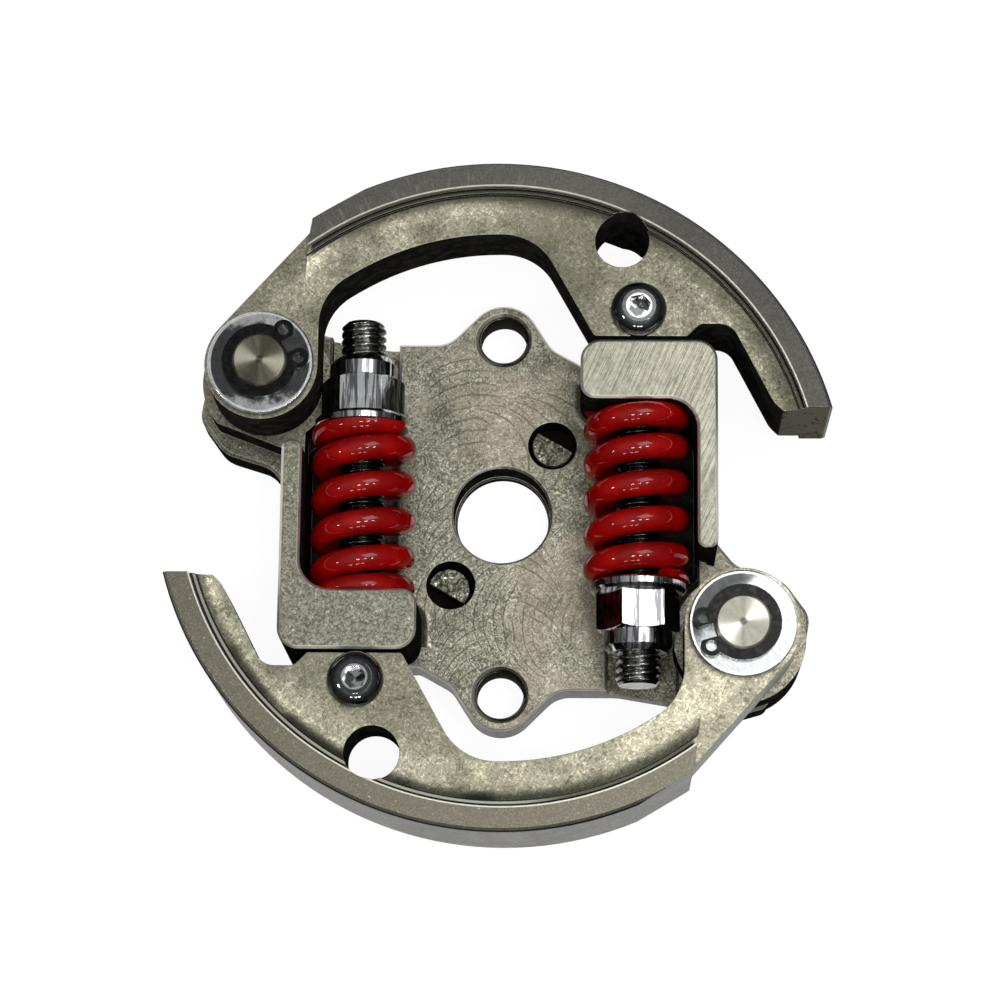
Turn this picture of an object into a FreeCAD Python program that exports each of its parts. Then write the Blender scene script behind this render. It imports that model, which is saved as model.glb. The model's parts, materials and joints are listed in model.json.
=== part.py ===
"""Two-shoe centrifugal clutch with adjustable tension springs, in millimetres.

The hub lies on its back face. The bore axis is Z, the origin is where that axis
meets the back face, and Y runs through the two tapped holes in the hub's lobes.
The clutch is the same after half a turn about Z, so every piece but the hub is
made once in its upper place and once more half a turn round.

The upper shoe swings about the pin at the upper left. A stud, held in the shoe
by a cross screw, runs down through the hub's right-hand block and through a
coil spring, and a lock nut on its end sets how hard the spring pulls the shoe in.
"""
import FreeCAD, Part
import math
import os

import Sketcher
from FreeCAD import Placement, Rotation, Vector

# Driving dimensions, all in millimetres, degrees or turns
DIMENSIONS = {
    # Hub plate and its lobes
    "PlateTop": 5.0,
    "ChannelFloor": 2.2,
    "LobeRise": 3.03,
    "LobeRadius": 4.05,
    "WaistRise": 2.48,
    "PlateEdgeX": 11.8,
    "PlateChamfer": 0.25,
    # Holes of the hub
    "BoreRadius": 5.45,
    "BoreLipRadius": 5.15,
    "BoreLipHeight": 1.2,
    "TappedRadius": 2.8,
    "TappedChamfer": 0.4,
    "DriveHoleX": 5.62,
    "DriveHoleY": 8.04,
    "DriveHoleRadius": 2.75,
    "DrivePinTop": 4.5,
    "DriveFootHeight": 1.4,
    "DriveStubRadius": 2.25,
    "DriveStubFlat": 0.5,
    "DriveStubSetUpper": 0.1,
    "DriveStubSetLower": 0.4,
    "DriveFlatAngle": 60.0,
    # L-shaped spring brackets
    "BlockTop": 16.0,
    "BlockLeft": 8.8,
    "BlockOuterY": 17.37,
    "BlockDepth": 6.67,
    "BlockCorner": 2.3,
    "BlockThroat": 3.3,
    "SpotRadius": 5.95,
    "BlockFillet": 1.1,
    "LegOuterX": 23.85,
    "LegThickness": 2.25,
    "LegEndY": -5.97,
    "BlockChamfer": 0.3,
    "StudHoleRadius": 3.25,
    # Ears, seats and pivots
    "PivotX": -26.39,
    "PivotY": 14.49,
    "PivotRadius": 3.0,
    "EarTop": 4.3,
    "EarChamfer": 0.35,
    "EarShoulderX": 8.1,
    "EarShoulderY": 6.25,
    "SeatTop": 8.2,
    "SeatRadius": 7.3,
    "SeatFlat": 6.44,
    "SeatFlatAngle": 248.9,
    "ChannelEndX": 19.5,
    "PivotTop": 17.7,
    "PivotChamfer": 0.25,
    # Shoes
    "DrumRadius": 38.0,
    "RetractAngle": 1.57,
    "RimBottom": 3.8,
    "RimTop": 17.6,
    "RimThickness": 2.75,
    "RimChamfer": 0.45,
    "LedgeWidth": 0.6,
    "LedgeDrop": 0.75,
    "CoveRise": 0.55,
    "CoveReach": 1.0,
    "CoveRadius": 3.6,
    "WebThickness": 7.5,
    "WebWidth": 5.05,
    "WebArcEnd": 122.0,
    "TailEndY": 9.3,
    "TailBottom": 5.1,
    "TailBlockSide": 4.2,
    "HeelAngle": 123.1,
    "HeelDrop": 0.42,
    "HeelFaceAngle": 81.4,
    "HeelFlatEnd": 112.9,
    "BossRadius": 6.25,
    "ArmAngle": 48.5,
    "FootAngle": 119.1,
    "ShoeHoleX": 13.34,
    "ShoeHoleY": 28.67,
    "ShoeHoleRadius": 3.0,
    "ForkBottom": 6.4,
    "SlotHeight": 3.6,
    "SlotRadius": 4.1,
    "PlayAlongAxis": 0.1,
    "BlockGap": 0.42,
    "RunningClearance": 0.04,
    # Washers and retaining rings on the pivots
    "WasherRadius": 5.85,
    "WasherThickness": 0.8,
    "RingThickness": 0.7,
    "RingRadius": 4.15,
    "RingGroove": 0.15,
    "RingLugRadius": 1.15,
    "RingLugPlace": 4.3,
    "RingLugSpreadUpper": 25.0,
    "RingLugSpreadLower": 21.5,
    "RingHoleRadius": 0.6,
    "RingMouth": 0.75,
    "RingTurnUpper": 28.5,
    "RingTurnLower": 16.0,
    # Tension studs and cross screws
    "StudX": 15.2,
    "StudRise": 3.37,
    "StudAxisHeight": 11.0,
    "StudRadius": 2.5,
    "StudEndY": -20.4,
    "StudShoulderY": 17.2,
    "StudChamfer": 0.45,
    "StudLeanUpper": 0.0,
    "StudLeanLower": 0.3,
    "EyeRadius": 3.6,
    "EyeThickness": 3.4,
    "ScrewRadius": 1.75,
    "ScrewHeadRadius": 3.07,
    "ScrewHeadHeight": 1.9,
    "ScrewHeadEdge": 0.45,
    "ScrewSocketAcross": 2.3,
    "ScrewSocketDepth": 1.1,
    # Lock nuts with their inserts
    "FlangeRadius": 5.3,
    "FlangeThickness": 1.5,
    "HexAcrossFlats": 8.0,
    "HexHeight": 4.1,
    "CollarRadius": 3.75,
    "CollarHeight": 2.3,
    "InsertHeight": 1.3,
    "InsertRadius": 3.15,
    "InsertRecess": 0.25,
    "NutTurnUpper": 7.5,
    "NutTurnLower": 0.0,
    # Coil springs
    "SpringXUpper": 15.0,
    "SpringXLower": 15.1,
    "SpringWireRadius": 1.4,
    "SpringMeanRadius": 4.45,
    "SpringTurns": 5.75,
    "SpringClosedTurns": 0.5,
    "SpringClosedRise": 0.45,
    "SpringGround": 0.9,
    "SpringLengthUpper": 19.7,
    "SpringLengthLower": 18.9,
    "SpringFrontUpper": 0.75,
    "SpringFrontLower": 0.12,
}

# Sizes that follow from the block faces and from the drum
FOLLOWING = {
    "LobeCentreY": "BlockOuterY + LobeRise",
    "WaistY": "BlockOuterY + WaistRise",
    "BlockInnerY": "BlockOuterY - BlockDepth",
    "StudY": "BlockOuterY + StudRise",
    "RimInnerRadius": "DrumRadius - RimThickness",
    "WebInnerRadius": "RimInnerRadius - WebWidth",
}

SIDES = {"upper": Rotation(), "lower": Rotation(Vector(0, 0, 1), 180)}


def make_sheet(doc):
    """Spreadsheet of the dimensions, one alias a row, the following ones as formulas."""
    table = doc.addObject("Spreadsheet::Sheet", "Sizes")
    cells = {alias: str(value) for alias, value in DIMENSIONS.items()}
    cells.update({alias: "=" + formula for alias, formula in FOLLOWING.items()})
    for row, (alias, content) in enumerate(cells.items(), start=1):
        table.set("A%d" % row, alias)
        table.setAlias("B%d" % row, alias)
        table.set("B%d" % row, content)
    doc.recompute()
    return table


document = FreeCAD.newDocument("CentrifugalClutch")
sheet = make_sheet(document)


def size(alias):
    """A driving dimension as the sheet holds it."""
    return float(getattr(sheet, alias))


def polar(centre, radius, degrees):
    """Point at a radius and an angle from a centre."""
    angle = math.radians(degrees)
    return centre + Vector(radius * math.cos(angle), radius * math.sin(angle), 0)


def heading(degrees):
    """Unit vector in the plan."""
    return polar(Vector(), 1, degrees)


# Places and heights that follow from the driving dimensions
pivot = Vector(size("PivotX"), size("PivotY"), 0)
stud_point = Vector(size("StudX"), size("StudY"), 0)
leg_inner_x = size("LegOuterX") - size("LegThickness")
web_bottom = size("SeatTop") + size("PlayAlongAxis")
web_top = web_bottom + size("WebThickness")
washer_bottom = web_top + size("PlayAlongAxis") / 2
ring_bottom = washer_bottom + size("WasherThickness") + size("PlayAlongAxis") / 2
WEB_BOTTOM = "Sizes.SeatTop + Sizes.PlayAlongAxis"
WEB_TOP = WEB_BOTTOM + " + Sizes.WebThickness"

# The shoes were turned with their arc on the bore axis. At rest they sit swung
# inwards about their pivots, which carries the centre of the arc off the axis.
arc_centre = pivot + Rotation(Vector(0, 0, 1), -size("RetractAngle")).multVec(-pivot)


def crossing(point_a, along_a, point_b, along_b):
    """Where two straight lines in the plan meet."""
    across = along_a.x * along_b.y - along_a.y * along_b.x
    gap = point_b - point_a
    reach = (gap.x * along_b.y - gap.y * along_b.x) / across
    return point_a + along_a * reach


def rounded(corners):
    """Closed outline of straight lines whose corners are rounded by arcs.

    Each corner is (point, radius); a radius of 0 leaves it sharp.
    """
    ends = []
    for index, (here, radius) in enumerate(corners):
        if radius == 0:
            ends.append((here, None, here))
            continue
        back = (corners[index - 1][0] - here).normalize()
        ahead = (corners[(index + 1) % len(corners)][0] - here).normalize()
        half = back.getAngle(ahead) / 2
        reach = radius / math.tan(half)
        bisector = (back + ahead).normalize()
        middle = here + bisector * (radius / math.sin(half) - radius)
        ends.append((here + back * reach, middle, here + ahead * reach))
    curves = []
    for index, (start, middle, finish) in enumerate(ends):
        if middle is not None:
            curves.append(Part.Arc(start, middle, finish))
        curves.append(Part.LineSegment(finish, ends[(index + 1) % len(ends)][0]))
    return curves


def sharp(points):
    """Corners without rounding."""
    return [(point, 0) for point in points]


def shifted(corners, centre):
    """Corners as seen from another centre."""
    return [(point - centre, radius) for point, radius in corners]


def half_turned(corners):
    """The same corners half a turn round the bore."""
    return [(Vector(-point.x, -point.y, 0), radius) for point, radius in corners]


def new_body(name):
    """Empty body whose label names its file."""
    body = document.addObject("PartDesign::Body", name)
    body.Label = name
    return body


def origin_feature(body, role):
    """Origin plane or axis of a body."""
    return [item for item in body.Origin.OriginFeatures if item.Role == role][0]


def new_sketch(body, name, height=None, plane="XY_Plane"):
    """Sketch on a plane of the body, raised by an expression if one is given."""
    sketch = body.newObject("Sketcher::SketchObject", name)
    sketch.AttachmentSupport = [(origin_feature(body, plane), "")]
    sketch.MapMode = "FlatFace"
    if height is not None:
        sketch.setExpression("AttachmentOffset.Base.z", height)
    return sketch


def draw(sketch, curves):
    """Put a closed chain of curves in a sketch and join their ends."""
    ends = []
    for curve in curves:
        index = sketch.addGeometry(curve, False)
        forward = sketch.getPoint(index, 1).distanceToPoint(curve.StartPoint) < 1e-6
        ends.append((index, 1, 2) if forward else (index, 2, 1))
    for (index, _, finish), (after, start, _) in zip(ends, ends[1:] + ends[:1]):
        sketch.addConstraint(Sketcher.Constraint("Coincident", index, finish, after, start))
    return sketch


def circle(sketch, centre, radius, places=None):
    """Circle whose radius, and place if named, follow the sheet."""
    value = size(radius.split(" ")[0].replace("Sizes.", ""))
    index = sketch.addGeometry(Part.Circle(centre, Vector(0, 0, 1), value), False)
    bound = sketch.addConstraint(Sketcher.Constraint("Radius", index, value))
    sketch.setExpression("Constraints[%d]" % bound, radius)
    x_name, y_name = places or (None, None)
    for kind, coordinate, name in (("DistanceX", centre.x, x_name), ("DistanceY", centre.y, y_name)):
        bound = sketch.addConstraint(Sketcher.Constraint(kind, -1, 1, index, 3, coordinate))
        if name:
            sketch.setExpression("Constraints[%d]" % bound, name)
    return sketch


def pad(body, sketch, name, length):
    """Pad a sketch upwards by an expression."""
    feature = body.newObject("PartDesign::Pad", name)
    feature.Profile = sketch
    feature.setExpression("Length", length)
    body.Tip = feature
    return feature


def pocket(body, sketch, name, length=None):
    """Pocket from a sketch downwards, by an expression or through all."""
    feature = body.newObject("PartDesign::Pocket", name)
    feature.Profile = sketch
    if length is None:
        feature.Type = 1
    else:
        feature.setExpression("Length", length)
    body.Tip = feature
    return feature


def turned(body, name, curves, cut=False):
    """Revolve a closed chain of (radius, height) curves about the body's Z axis."""
    sketch = draw(new_sketch(body, name + "Profile", plane="XZ_Plane"), curves)
    kind = "PartDesign::Groove" if cut else "PartDesign::Revolution"
    feature = body.newObject(kind, name)
    feature.Profile = sketch
    feature.ReferenceAxis = (sketch, ["V_Axis"])
    feature.Angle = 360
    body.Tip = feature
    return feature


def profile(points):
    """Closed chain of straight lines through (radius, height) points."""
    corners = [Vector(radius, height, 0) for radius, height in points]
    return rounded(sharp(corners))


def paired(body, name, features):
    """Repeat features half a turn about the body's Z axis."""
    pattern = body.newObject("PartDesign::PolarPattern", name)
    pattern.Originals = features
    pattern.Axis = (origin_feature(body, "Z_Axis"), [""])
    pattern.Angle = 360
    pattern.Occurrences = 2
    body.Tip = pattern
    return pattern


def chamfer(body, name, height, width, keep=None):
    """Chamfer the edges of a body that lie wholly at one height."""
    document.recompute()
    base = body.Tip
    names = []
    for index, edge in enumerate(base.Shape.Edges, start=1):
        box = edge.BoundBox
        level = abs(box.ZMin - height) < 1e-4 and abs(box.ZMax - height) < 1e-4
        if level and (keep is None or keep(edge)):
            names.append("Edge%d" % index)
    feature = body.newObject("PartDesign::Chamfer", name)
    feature.Base = (base, names)
    feature.setExpression("Size", width)
    body.Tip = feature
    document.recompute()
    return feature


def has_radius(*aliases):
    """Test for circular edges of the named radii."""
    wanted = [size(alias) for alias in aliases]

    def test(edge):
        if not isinstance(edge.Curve, Part.Circle):
            return False
        return any(abs(edge.Curve.Radius - radius) < 1e-6 for radius in wanted)
    return test


# Hub


def waist_corners():
    """Corners of the hub's upper edge, from the block round the lobe to the left."""
    lobe = Vector(0, size("LobeCentreY"), 0)
    right = polar(lobe, size("LobeRadius"), 32.6)
    left = polar(lobe, size("LobeRadius"), 135)
    right_run = heading(122.6)
    left_run = heading(45)
    foot = Vector(size("BlockLeft") + 0.25, size("BlockOuterY"), 0)
    shoulder = crossing(right, right_run, foot, heading(151))
    tip = crossing(right, right_run, left, left_run)
    waist = crossing(left, left_run, Vector(0, size("WaistY"), 0), Vector(1, 0, 0))
    return [(foot, 0.8), (shoulder, 3.0), (tip, size("LobeRadius")), (waist, 3.5)]


def ear_corners():
    """Corners of the ear round the upper left pivot, from its inner end outwards."""
    leg = Vector(-size("LegOuterX"), -size("LegEndY"), 0)
    return [
        (Vector(-size("PlateEdgeX") - 1.2, size("WaistY"), 0), 6.0),
        (pivot + Vector(size("EarShoulderX"), size("EarShoulderY"), 0), 6.0),
        (pivot + Vector(-0.1, 7.9, 0), 3.0),
        (pivot + Vector(-2.9, 7.1, 0), 1.2),
        (pivot + Vector(-7.5, -0.3, 0), 2.0),
        (pivot + Vector(-8.0, -3.3, 0), 2.5),
        (pivot + Vector(-5.1, -7.3, 0), 3.5),
        (leg + Vector(-2.35, -0.45, 0), 3.0),
        (leg + Vector(0, -3.35, 0), 0.8),
    ]


def seat_outline():
    """Raised seat round the upper left pivot, with a flat that runs to the leg."""
    flat = size("SeatFlatAngle")
    spread = math.degrees(math.acos(size("SeatFlat") / size("SeatRadius")))
    start = polar(pivot, size("SeatRadius"), flat - spread)
    leg_x = -leg_inner_x - size("LegThickness") / 2
    along = heading(flat + 90)
    meet = crossing(start, along, Vector(leg_x, 0, 0), Vector(0, 1, 0))
    inner_x = -leg_inner_x - 0.4
    rise = math.sqrt(size("SeatRadius") ** 2 - (inner_x - pivot.x) ** 2)
    finish = Vector(inner_x, pivot.y - rise, 0)
    depth = -size("LegEndY") - 1.5
    return [
        Part.LineSegment(start, meet),
        Part.LineSegment(meet, Vector(meet.x, depth, 0)),
        Part.LineSegment(Vector(meet.x, depth, 0), Vector(inner_x, depth, 0)),
        Part.LineSegment(Vector(inner_x, depth, 0), finish),
        Part.Arc(finish, polar(pivot, size("SeatRadius"), 90), start),
    ]


def bracket_corners():
    """Corners of the right-hand L-shaped bracket."""
    tip = size("LegThickness") * 0.42
    inner = size("BlockInnerY")
    return [
        (Vector(size("BlockLeft"), size("BlockOuterY"), 0), size("BlockCorner")),
        (Vector(size("BlockLeft"), inner, 0), size("BlockCorner") * 0.7),
        (Vector(leg_inner_x, inner, 0), size("BlockThroat")),
        (Vector(leg_inner_x, size("LegEndY"), 0), tip),
        (Vector(size("LegOuterX"), size("LegEndY"), 0), tip),
        (Vector(size("LegOuterX"), size("BlockOuterY"), 0), size("BlockCorner")),
    ]


def plate_corners():
    """Corners of the thick middle of the hub, upper half."""
    edge = size("PlateEdgeX")
    deep = size("BlockInnerY") + 2.3
    under = size("BlockLeft") + 2.0
    return waist_corners() + sharp([
        Vector(-edge, size("WaistY"), 0),
        Vector(-edge, -deep, 0),
        Vector(-under, -deep, 0),
        Vector(-under, -size("BlockOuterY"), 0),
    ])


def on_an_ear(edge):
    """Test for edges that lie out past the ends of the spring channels."""
    middle = edge.valueAt((edge.FirstParameter + edge.LastParameter) / 2)
    return abs(middle.x) > size("ChannelEndX") - 0.1


def cove_outline(wall, outwards):
    """Section of the cove at a block's foot: plate on one side, wall on the other."""
    reach = size("BlockFillet")
    floor = size("PlateTop")
    sunk = size("PlateChamfer")
    edge = wall + outwards * reach
    middle = Vector(edge - outwards * reach * math.sin(math.pi / 4),
                    floor + reach - reach * math.cos(math.pi / 4), 0)
    start = Vector(edge, floor, 0)
    finish = Vector(wall, floor + reach, 0)
    inside = wall - outwards * sunk
    points = [finish, Vector(inside, floor + reach, 0), Vector(inside, floor - sunk, 0),
              Vector(edge, floor - sunk, 0), start]
    lines = [Part.LineSegment(a, b) for a, b in zip(points, points[1:])]
    return lines + [Part.Arc(start, middle, finish)]


def block_foot(body):
    """Cove between the plate and the block: a straight run and a turn at its corner."""
    corner = size("BlockCorner") * 0.7
    centre_x = size("BlockLeft") + corner
    centre_y = size("BlockInnerY") + corner
    run = new_sketch(body, "FootRun", "-Sizes.BlockOuterY + Sizes.BlockCorner", plane="XZ_Plane")
    draw(run, cove_outline(size("BlockLeft"), -1))
    straight = pad(body, run, "FootStraight", "Sizes.BlockDepth - 1.7 * Sizes.BlockCorner")
    bend = new_sketch(body, "FootBend", plane="XZ_Plane")
    bend.AttachmentOffset = Placement(Vector(centre_x, 0, -centre_y), Rotation())
    draw(bend, cove_outline(-corner, -1))
    turn = body.newObject("PartDesign::Revolution", "FootTurn")
    turn.Profile = bend
    turn.ReferenceAxis = (bend, ["V_Axis"])
    turn.Angle = 90
    body.Tip = turn
    return [straight, turn]


def make_hub():
    """Machined hub: plate, spring channels, brackets, ears, seats and bores."""
    body = new_body("hub")
    corner = (Vector(size("LegOuterX"), size("BlockOuterY"), 0), size("BlockCorner"))
    outline = [corner] + waist_corners() + ear_corners()
    base = draw(new_sketch(body, "BaseOutline"), rounded(outline + half_turned(outline)))
    pad(body, base, "Base", "Sizes.EarTop")

    beyond = -size("DrumRadius")
    channel = [
        (Vector(size("PlateEdgeX"), size("BlockInnerY"), 0), 0),
        (Vector(leg_inner_x, size("BlockInnerY"), 0), 0),
        (Vector(leg_inner_x, size("LegEndY") - 1.0, 0), 0),
        (Vector(size("ChannelEndX"), size("LegEndY") - 3.0, 0), 0),
        (Vector(size("ChannelEndX"), beyond, 0), 0),
        (Vector(size("PlateEdgeX"), beyond, 0), 0),
    ]
    channel_sketch = draw(new_sketch(body, "ChannelOutline", "Sizes.EarTop"), rounded(channel))
    channel_pocket = pocket(body, channel_sketch, "Channel", "Sizes.EarTop - Sizes.ChannelFloor")
    paired(body, "Channels", [channel_pocket])
    chamfer(body, "EarEdges", size("EarTop"), "Sizes.EarChamfer", on_an_ear)

    upper = plate_corners()
    plate = draw(new_sketch(body, "PlateOutline"), rounded(upper + half_turned(upper)))
    pad(body, plate, "Plate", "Sizes.PlateTop")
    chamfer(body, "PlateEdges", size("PlateTop"), "Sizes.PlateChamfer")

    seat_pad = pad(body, draw(new_sketch(body, "SeatOutline"), seat_outline()), "Seat", "Sizes.SeatTop")
    bracket = draw(new_sketch(body, "BracketOutline"), rounded(bracket_corners()))
    bracket_pad = pad(body, bracket, "Bracket", "Sizes.BlockTop")
    paired(body, "SecondSide", [seat_pad, bracket_pad] + block_foot(body))
    chamfer(body, "BracketEdges", size("BlockTop"), "Sizes.BlockChamfer")

    bore = circle(new_sketch(body, "BoreCircle", "Sizes.PlateTop"), Vector(), "Sizes.BoreRadius")
    pocket(body, bore, "Bore", "Sizes.PlateTop - Sizes.BoreLipHeight")
    lip = circle(new_sketch(body, "LipCircle", "Sizes.PlateTop"), Vector(), "Sizes.BoreLipRadius")
    pocket(body, lip, "BoreLip")

    features = []
    holes = (
        ("TappedHole", Vector(0, size("LobeCentreY"), 0), "Sizes.TappedRadius", "Sizes.PlateTop",
         (None, "Sizes.LobeCentreY")),
        ("DriveHole", Vector(size("DriveHoleX"), size("DriveHoleY"), 0), "Sizes.DriveHoleRadius",
         "Sizes.PlateTop", ("Sizes.DriveHoleX", "Sizes.DriveHoleY")),
        ("PivotHole", pivot, "Sizes.PivotRadius", "Sizes.SeatTop", (None, "Sizes.PivotY")),
    )
    for name, centre, radius, height, places in holes:
        sketch = circle(new_sketch(body, name + "Circle", height), centre, radius, places)
        features.append(pocket(body, sketch, name))
    stud = new_sketch(body, "StudCircle", plane="XZ_Plane")
    circle(stud, Vector(size("StudX"), size("StudAxisHeight"), 0), "Sizes.StudHoleRadius",
           ("Sizes.StudX", "Sizes.StudAxisHeight"))
    stud_pocket = pocket(body, stud, "StudHole", "Sizes.BlockOuterY + 1")
    features.append(stud_pocket)
    spot = new_sketch(body, "SpotCircle", plane="XZ_Plane")
    circle(spot, Vector(size("StudX"), size("StudAxisHeight"), 0), "Sizes.SpotRadius",
           ("Sizes.StudX", "Sizes.StudAxisHeight"))
    features.append(pocket(body, spot, "SpotFace", "Sizes.BlockInnerY"))
    paired(body, "SecondHoles", features)
    chamfer(body, "TappedMouths", size("PlateTop"), "Sizes.TappedChamfer", has_radius("TappedRadius"))
    chamfer(body, "BoreMouth", size("PlateTop"), "Sizes.PlateChamfer", has_radius("BoreRadius"))
    return body


# Shoes


def shoe_corners():
    """Corners of the upper shoe as seen from above, outside the rim as well."""
    far = size("DrumRadius") + 8
    leg = Vector(size("LegOuterX"), size("BlockOuterY"), 0)
    foot_y = size("BlockOuterY") + size("BlockGap")
    left_foot = Vector(size("StudX") - 4.9, foot_y, 0)
    top_y = arc_centre.y + size("WebInnerRadius")
    knee = crossing(left_foot, heading(size("FootAngle")), Vector(0, top_y, 0), Vector(1, 0, 0))
    arc_end = polar(arc_centre, size("WebInnerRadius"), size("WebArcEnd"))
    arc_run = heading(size("WebArcEnd") + 90)
    crown = crossing(arc_end, arc_run, Vector(0, top_y, 0), Vector(1, 0, 0))
    arm_x = pivot.x + size("BossRadius")
    armpit = crossing(arc_end, arc_run, Vector(arm_x, 0, 0), Vector(0, 1, 0))
    boss_out = polar(pivot, size("BossRadius"), size("ArmAngle") + 90)
    heel = polar(arc_centre, size("DrumRadius") - size("HeelDrop"), size("HeelAngle"))
    nape = crossing(boss_out, heading(size("ArmAngle")), heel, heading(size("HeelFaceAngle")))
    flat_end = polar(arc_centre, size("DrumRadius"), size("HeelFlatEnd"))
    return [
        (Vector(far, size("TailEndY"), 0), 0),
        (Vector(leg.x + 7.1, size("TailEndY"), 0), 0.4),
        (leg + Vector(6.1, -7.1, 0), 3.2),
        (leg + Vector(1.5, 1.83, 0), 2.2),
        (leg + Vector(-1.95, 1.83, 0), 1.2),
        (Vector(size("StudX") + 5.3, foot_y, 0), 0.3),
        (left_foot, 0.5),
        (knee, 6.4),
        (crown, size("WebInnerRadius")),
        (armpit, 6.4),
        (Vector(arm_x, pivot.y, 0), 0),
        (boss_out, 0),
        (nape, 0.8),
        (heel, 0),
        (flat_end + (flat_end - heel).normalize() * 6, 0),
        (Vector(0, far, 0), 0),
        (Vector(far, far, 0), 0),
    ]


def rim_profile():
    """Turned section of a shoe: thin web, tall rim, ledge and cove between them."""
    inner = size("RimInnerRadius")
    ledge = inner - size("LedgeWidth")
    outer = size("DrumRadius")
    cove = size("CoveReach")
    top = size("RimTop")
    cut = size("RimChamfer")
    hollow = size("WebInnerRadius") / 2
    points = [
        Vector(hollow, web_bottom, 0),
        Vector(inner, web_bottom, 0),
        Vector(inner, size("RimBottom"), 0),
        Vector(outer - cut, size("RimBottom"), 0),
        Vector(outer, size("RimBottom") + cut, 0),
        Vector(outer, top - cut, 0),
        Vector(outer - cut, top, 0),
        Vector(inner, top, 0),
        Vector(inner, top - size("LedgeDrop"), 0),
        Vector(ledge, top - size("LedgeDrop"), 0),
    ]
    corners = sharp(points) + [
        (Vector(ledge, web_top + size("CoveRise"), 0), 0),
        (Vector(ledge - cove, web_top, 0), size("CoveRadius")),
        (Vector(hollow, web_top, 0), 0),
    ]
    return rounded(corners)


def tail_outline():
    """Region inside the rim, past the fork, where the web is as deep as the rim."""
    reach = size("RimInnerRadius") + size("RimThickness") / 4
    side = size("StudX") + size("TailBlockSide") - arc_centre.x
    low = polar(Vector(), reach, 5)
    high = Vector(side, math.sqrt(reach ** 2 - side ** 2), 0)
    corner = Vector(side, low.y, 0)
    middle = polar(Vector(), reach, 30)
    return [Part.LineSegment(corner, low), Part.Arc(low, middle, high), Part.LineSegment(high, corner)]


def make_shoe(side, turn):
    """Shoe turned and milled from one piece; its own origin is its arc's centre."""
    body = new_body("shoe_" + side)
    turned(body, "Ring" + side, rim_profile())

    block = draw(new_sketch(body, "TailOutline" + side, "Sizes.TailBottom"), tail_outline())
    pad(body, block, "TailBlock" + side, WEB_BOTTOM + " - Sizes.TailBottom + Sizes.PlayAlongAxis")

    trim = new_sketch(body, "PlanTrim" + side, "Sizes.RimTop")
    trim.addGeometry(Part.Circle(Vector(), Vector(0, 0, 1), size("DrumRadius") * 2), False)
    draw(trim, rounded(shifted(shoe_corners(), arc_centre)))
    pocket(body, trim, "Plan" + side)

    heel = polar(arc_centre, size("DrumRadius") - size("HeelDrop"), size("HeelAngle"))
    face = heading(size("HeelFaceAngle"))
    far = size("DrumRadius")
    region = sharp([heel + face * far, heel - face * far, heel + Vector(-far, -far, 0), heel + Vector(-far, far, 0)])
    above = draw(new_sketch(body, "HeelTop" + side, "Sizes.RimTop"), rounded(shifted(region, arc_centre)))
    pocket(body, above, "HeelAbove" + side, "Sizes.RimTop - (%s)" % WEB_TOP)
    below = draw(new_sketch(body, "HeelBottom" + side, WEB_BOTTOM), rounded(shifted(region, arc_centre)))
    pocket(body, below, "HeelBelow" + side)

    boss = circle(new_sketch(body, "BossCircle" + side, WEB_BOTTOM), pivot - arc_centre, "Sizes.BossRadius")
    pad(body, boss, "Boss" + side, "Sizes.WebThickness")

    foot_y = size("BlockOuterY") + size("BlockGap")
    lug = [
        (Vector(size("StudX") - 4.9, foot_y, 0), 0.5),
        (Vector(size("StudX") + 5.2, foot_y, 0), 0.3),
        (stud_point + Vector(5.2, 4.6, 0), 2.0),
        (stud_point + Vector(-5.2, 4.6, 0), 2.0),
    ]
    lug_sketch = draw(new_sketch(body, "LugOutline" + side, "Sizes.ForkBottom"),
                      rounded(shifted(lug, arc_centre)))
    pad(body, lug_sketch, "Lug" + side, WEB_BOTTOM + " - Sizes.ForkBottom + 0.2")

    reach = size("SlotRadius")
    mouth_y = size("BlockInnerY")
    centre = stud_point - arc_centre
    mouth = Vector(centre.x, mouth_y - arc_centre.y, 0)
    right = Vector(reach, 0, 0)
    slot = [
        Part.LineSegment(mouth + right, centre + right),
        Part.Arc(centre + right, centre + Vector(0, reach, 0), centre - right),
        Part.LineSegment(centre - right, mouth - right),
        Part.LineSegment(mouth - right, mouth + right),
    ]
    slot_sketch = draw(new_sketch(body, "SlotOutline" + side, "Sizes.StudAxisHeight + Sizes.SlotHeight / 2"),
                       slot)
    pocket(body, slot_sketch, "Slot" + side, "Sizes.SlotHeight")

    holes = (
        ("ScrewWay", stud_point, "Sizes.ScrewRadius + Sizes.RunningClearance",
         WEB_TOP + " - Sizes.StudAxisHeight"),
        ("ScrewThread", stud_point, "Sizes.ScrewRadius", None),
        ("PivotBore", pivot, "Sizes.PivotRadius + Sizes.RunningClearance", None),
        ("RoundHole", Vector(size("ShoeHoleX"), size("ShoeHoleY"), 0), "Sizes.ShoeHoleRadius", None),
    )
    for name, place, radius, depth in holes:
        height = "Sizes.RimTop" if name == "RoundHole" else WEB_TOP
        sketch = circle(new_sketch(body, name + "Circle" + side, height), place - arc_centre, radius)
        pocket(body, sketch, name + side, depth)
    body.Placement = Placement(turn.multVec(arc_centre), turn)
    return body


# Pivot pins, washers and retaining rings


def make_pivot_pin(side, turn):
    """Turned pivot pin with a groove for its retaining ring."""
    body = new_body("pivot_pin_" + side)
    radius = size("PivotRadius")
    neck = radius - size("RingGroove")
    cut = size("PivotChamfer")
    top = size("PivotTop")
    under = ring_bottom - 0.02
    over = ring_bottom + size("RingThickness") + 0.02
    turned(body, "Pin" + side, profile([
        (0, 0), (radius - cut, 0), (radius, cut), (radius, under), (neck, under), (neck, over),
        (radius, over), (radius, top - cut), (radius - cut, top), (0, top),
    ]))
    body.Placement = Placement(turn.multVec(pivot), turn)
    return body


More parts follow.
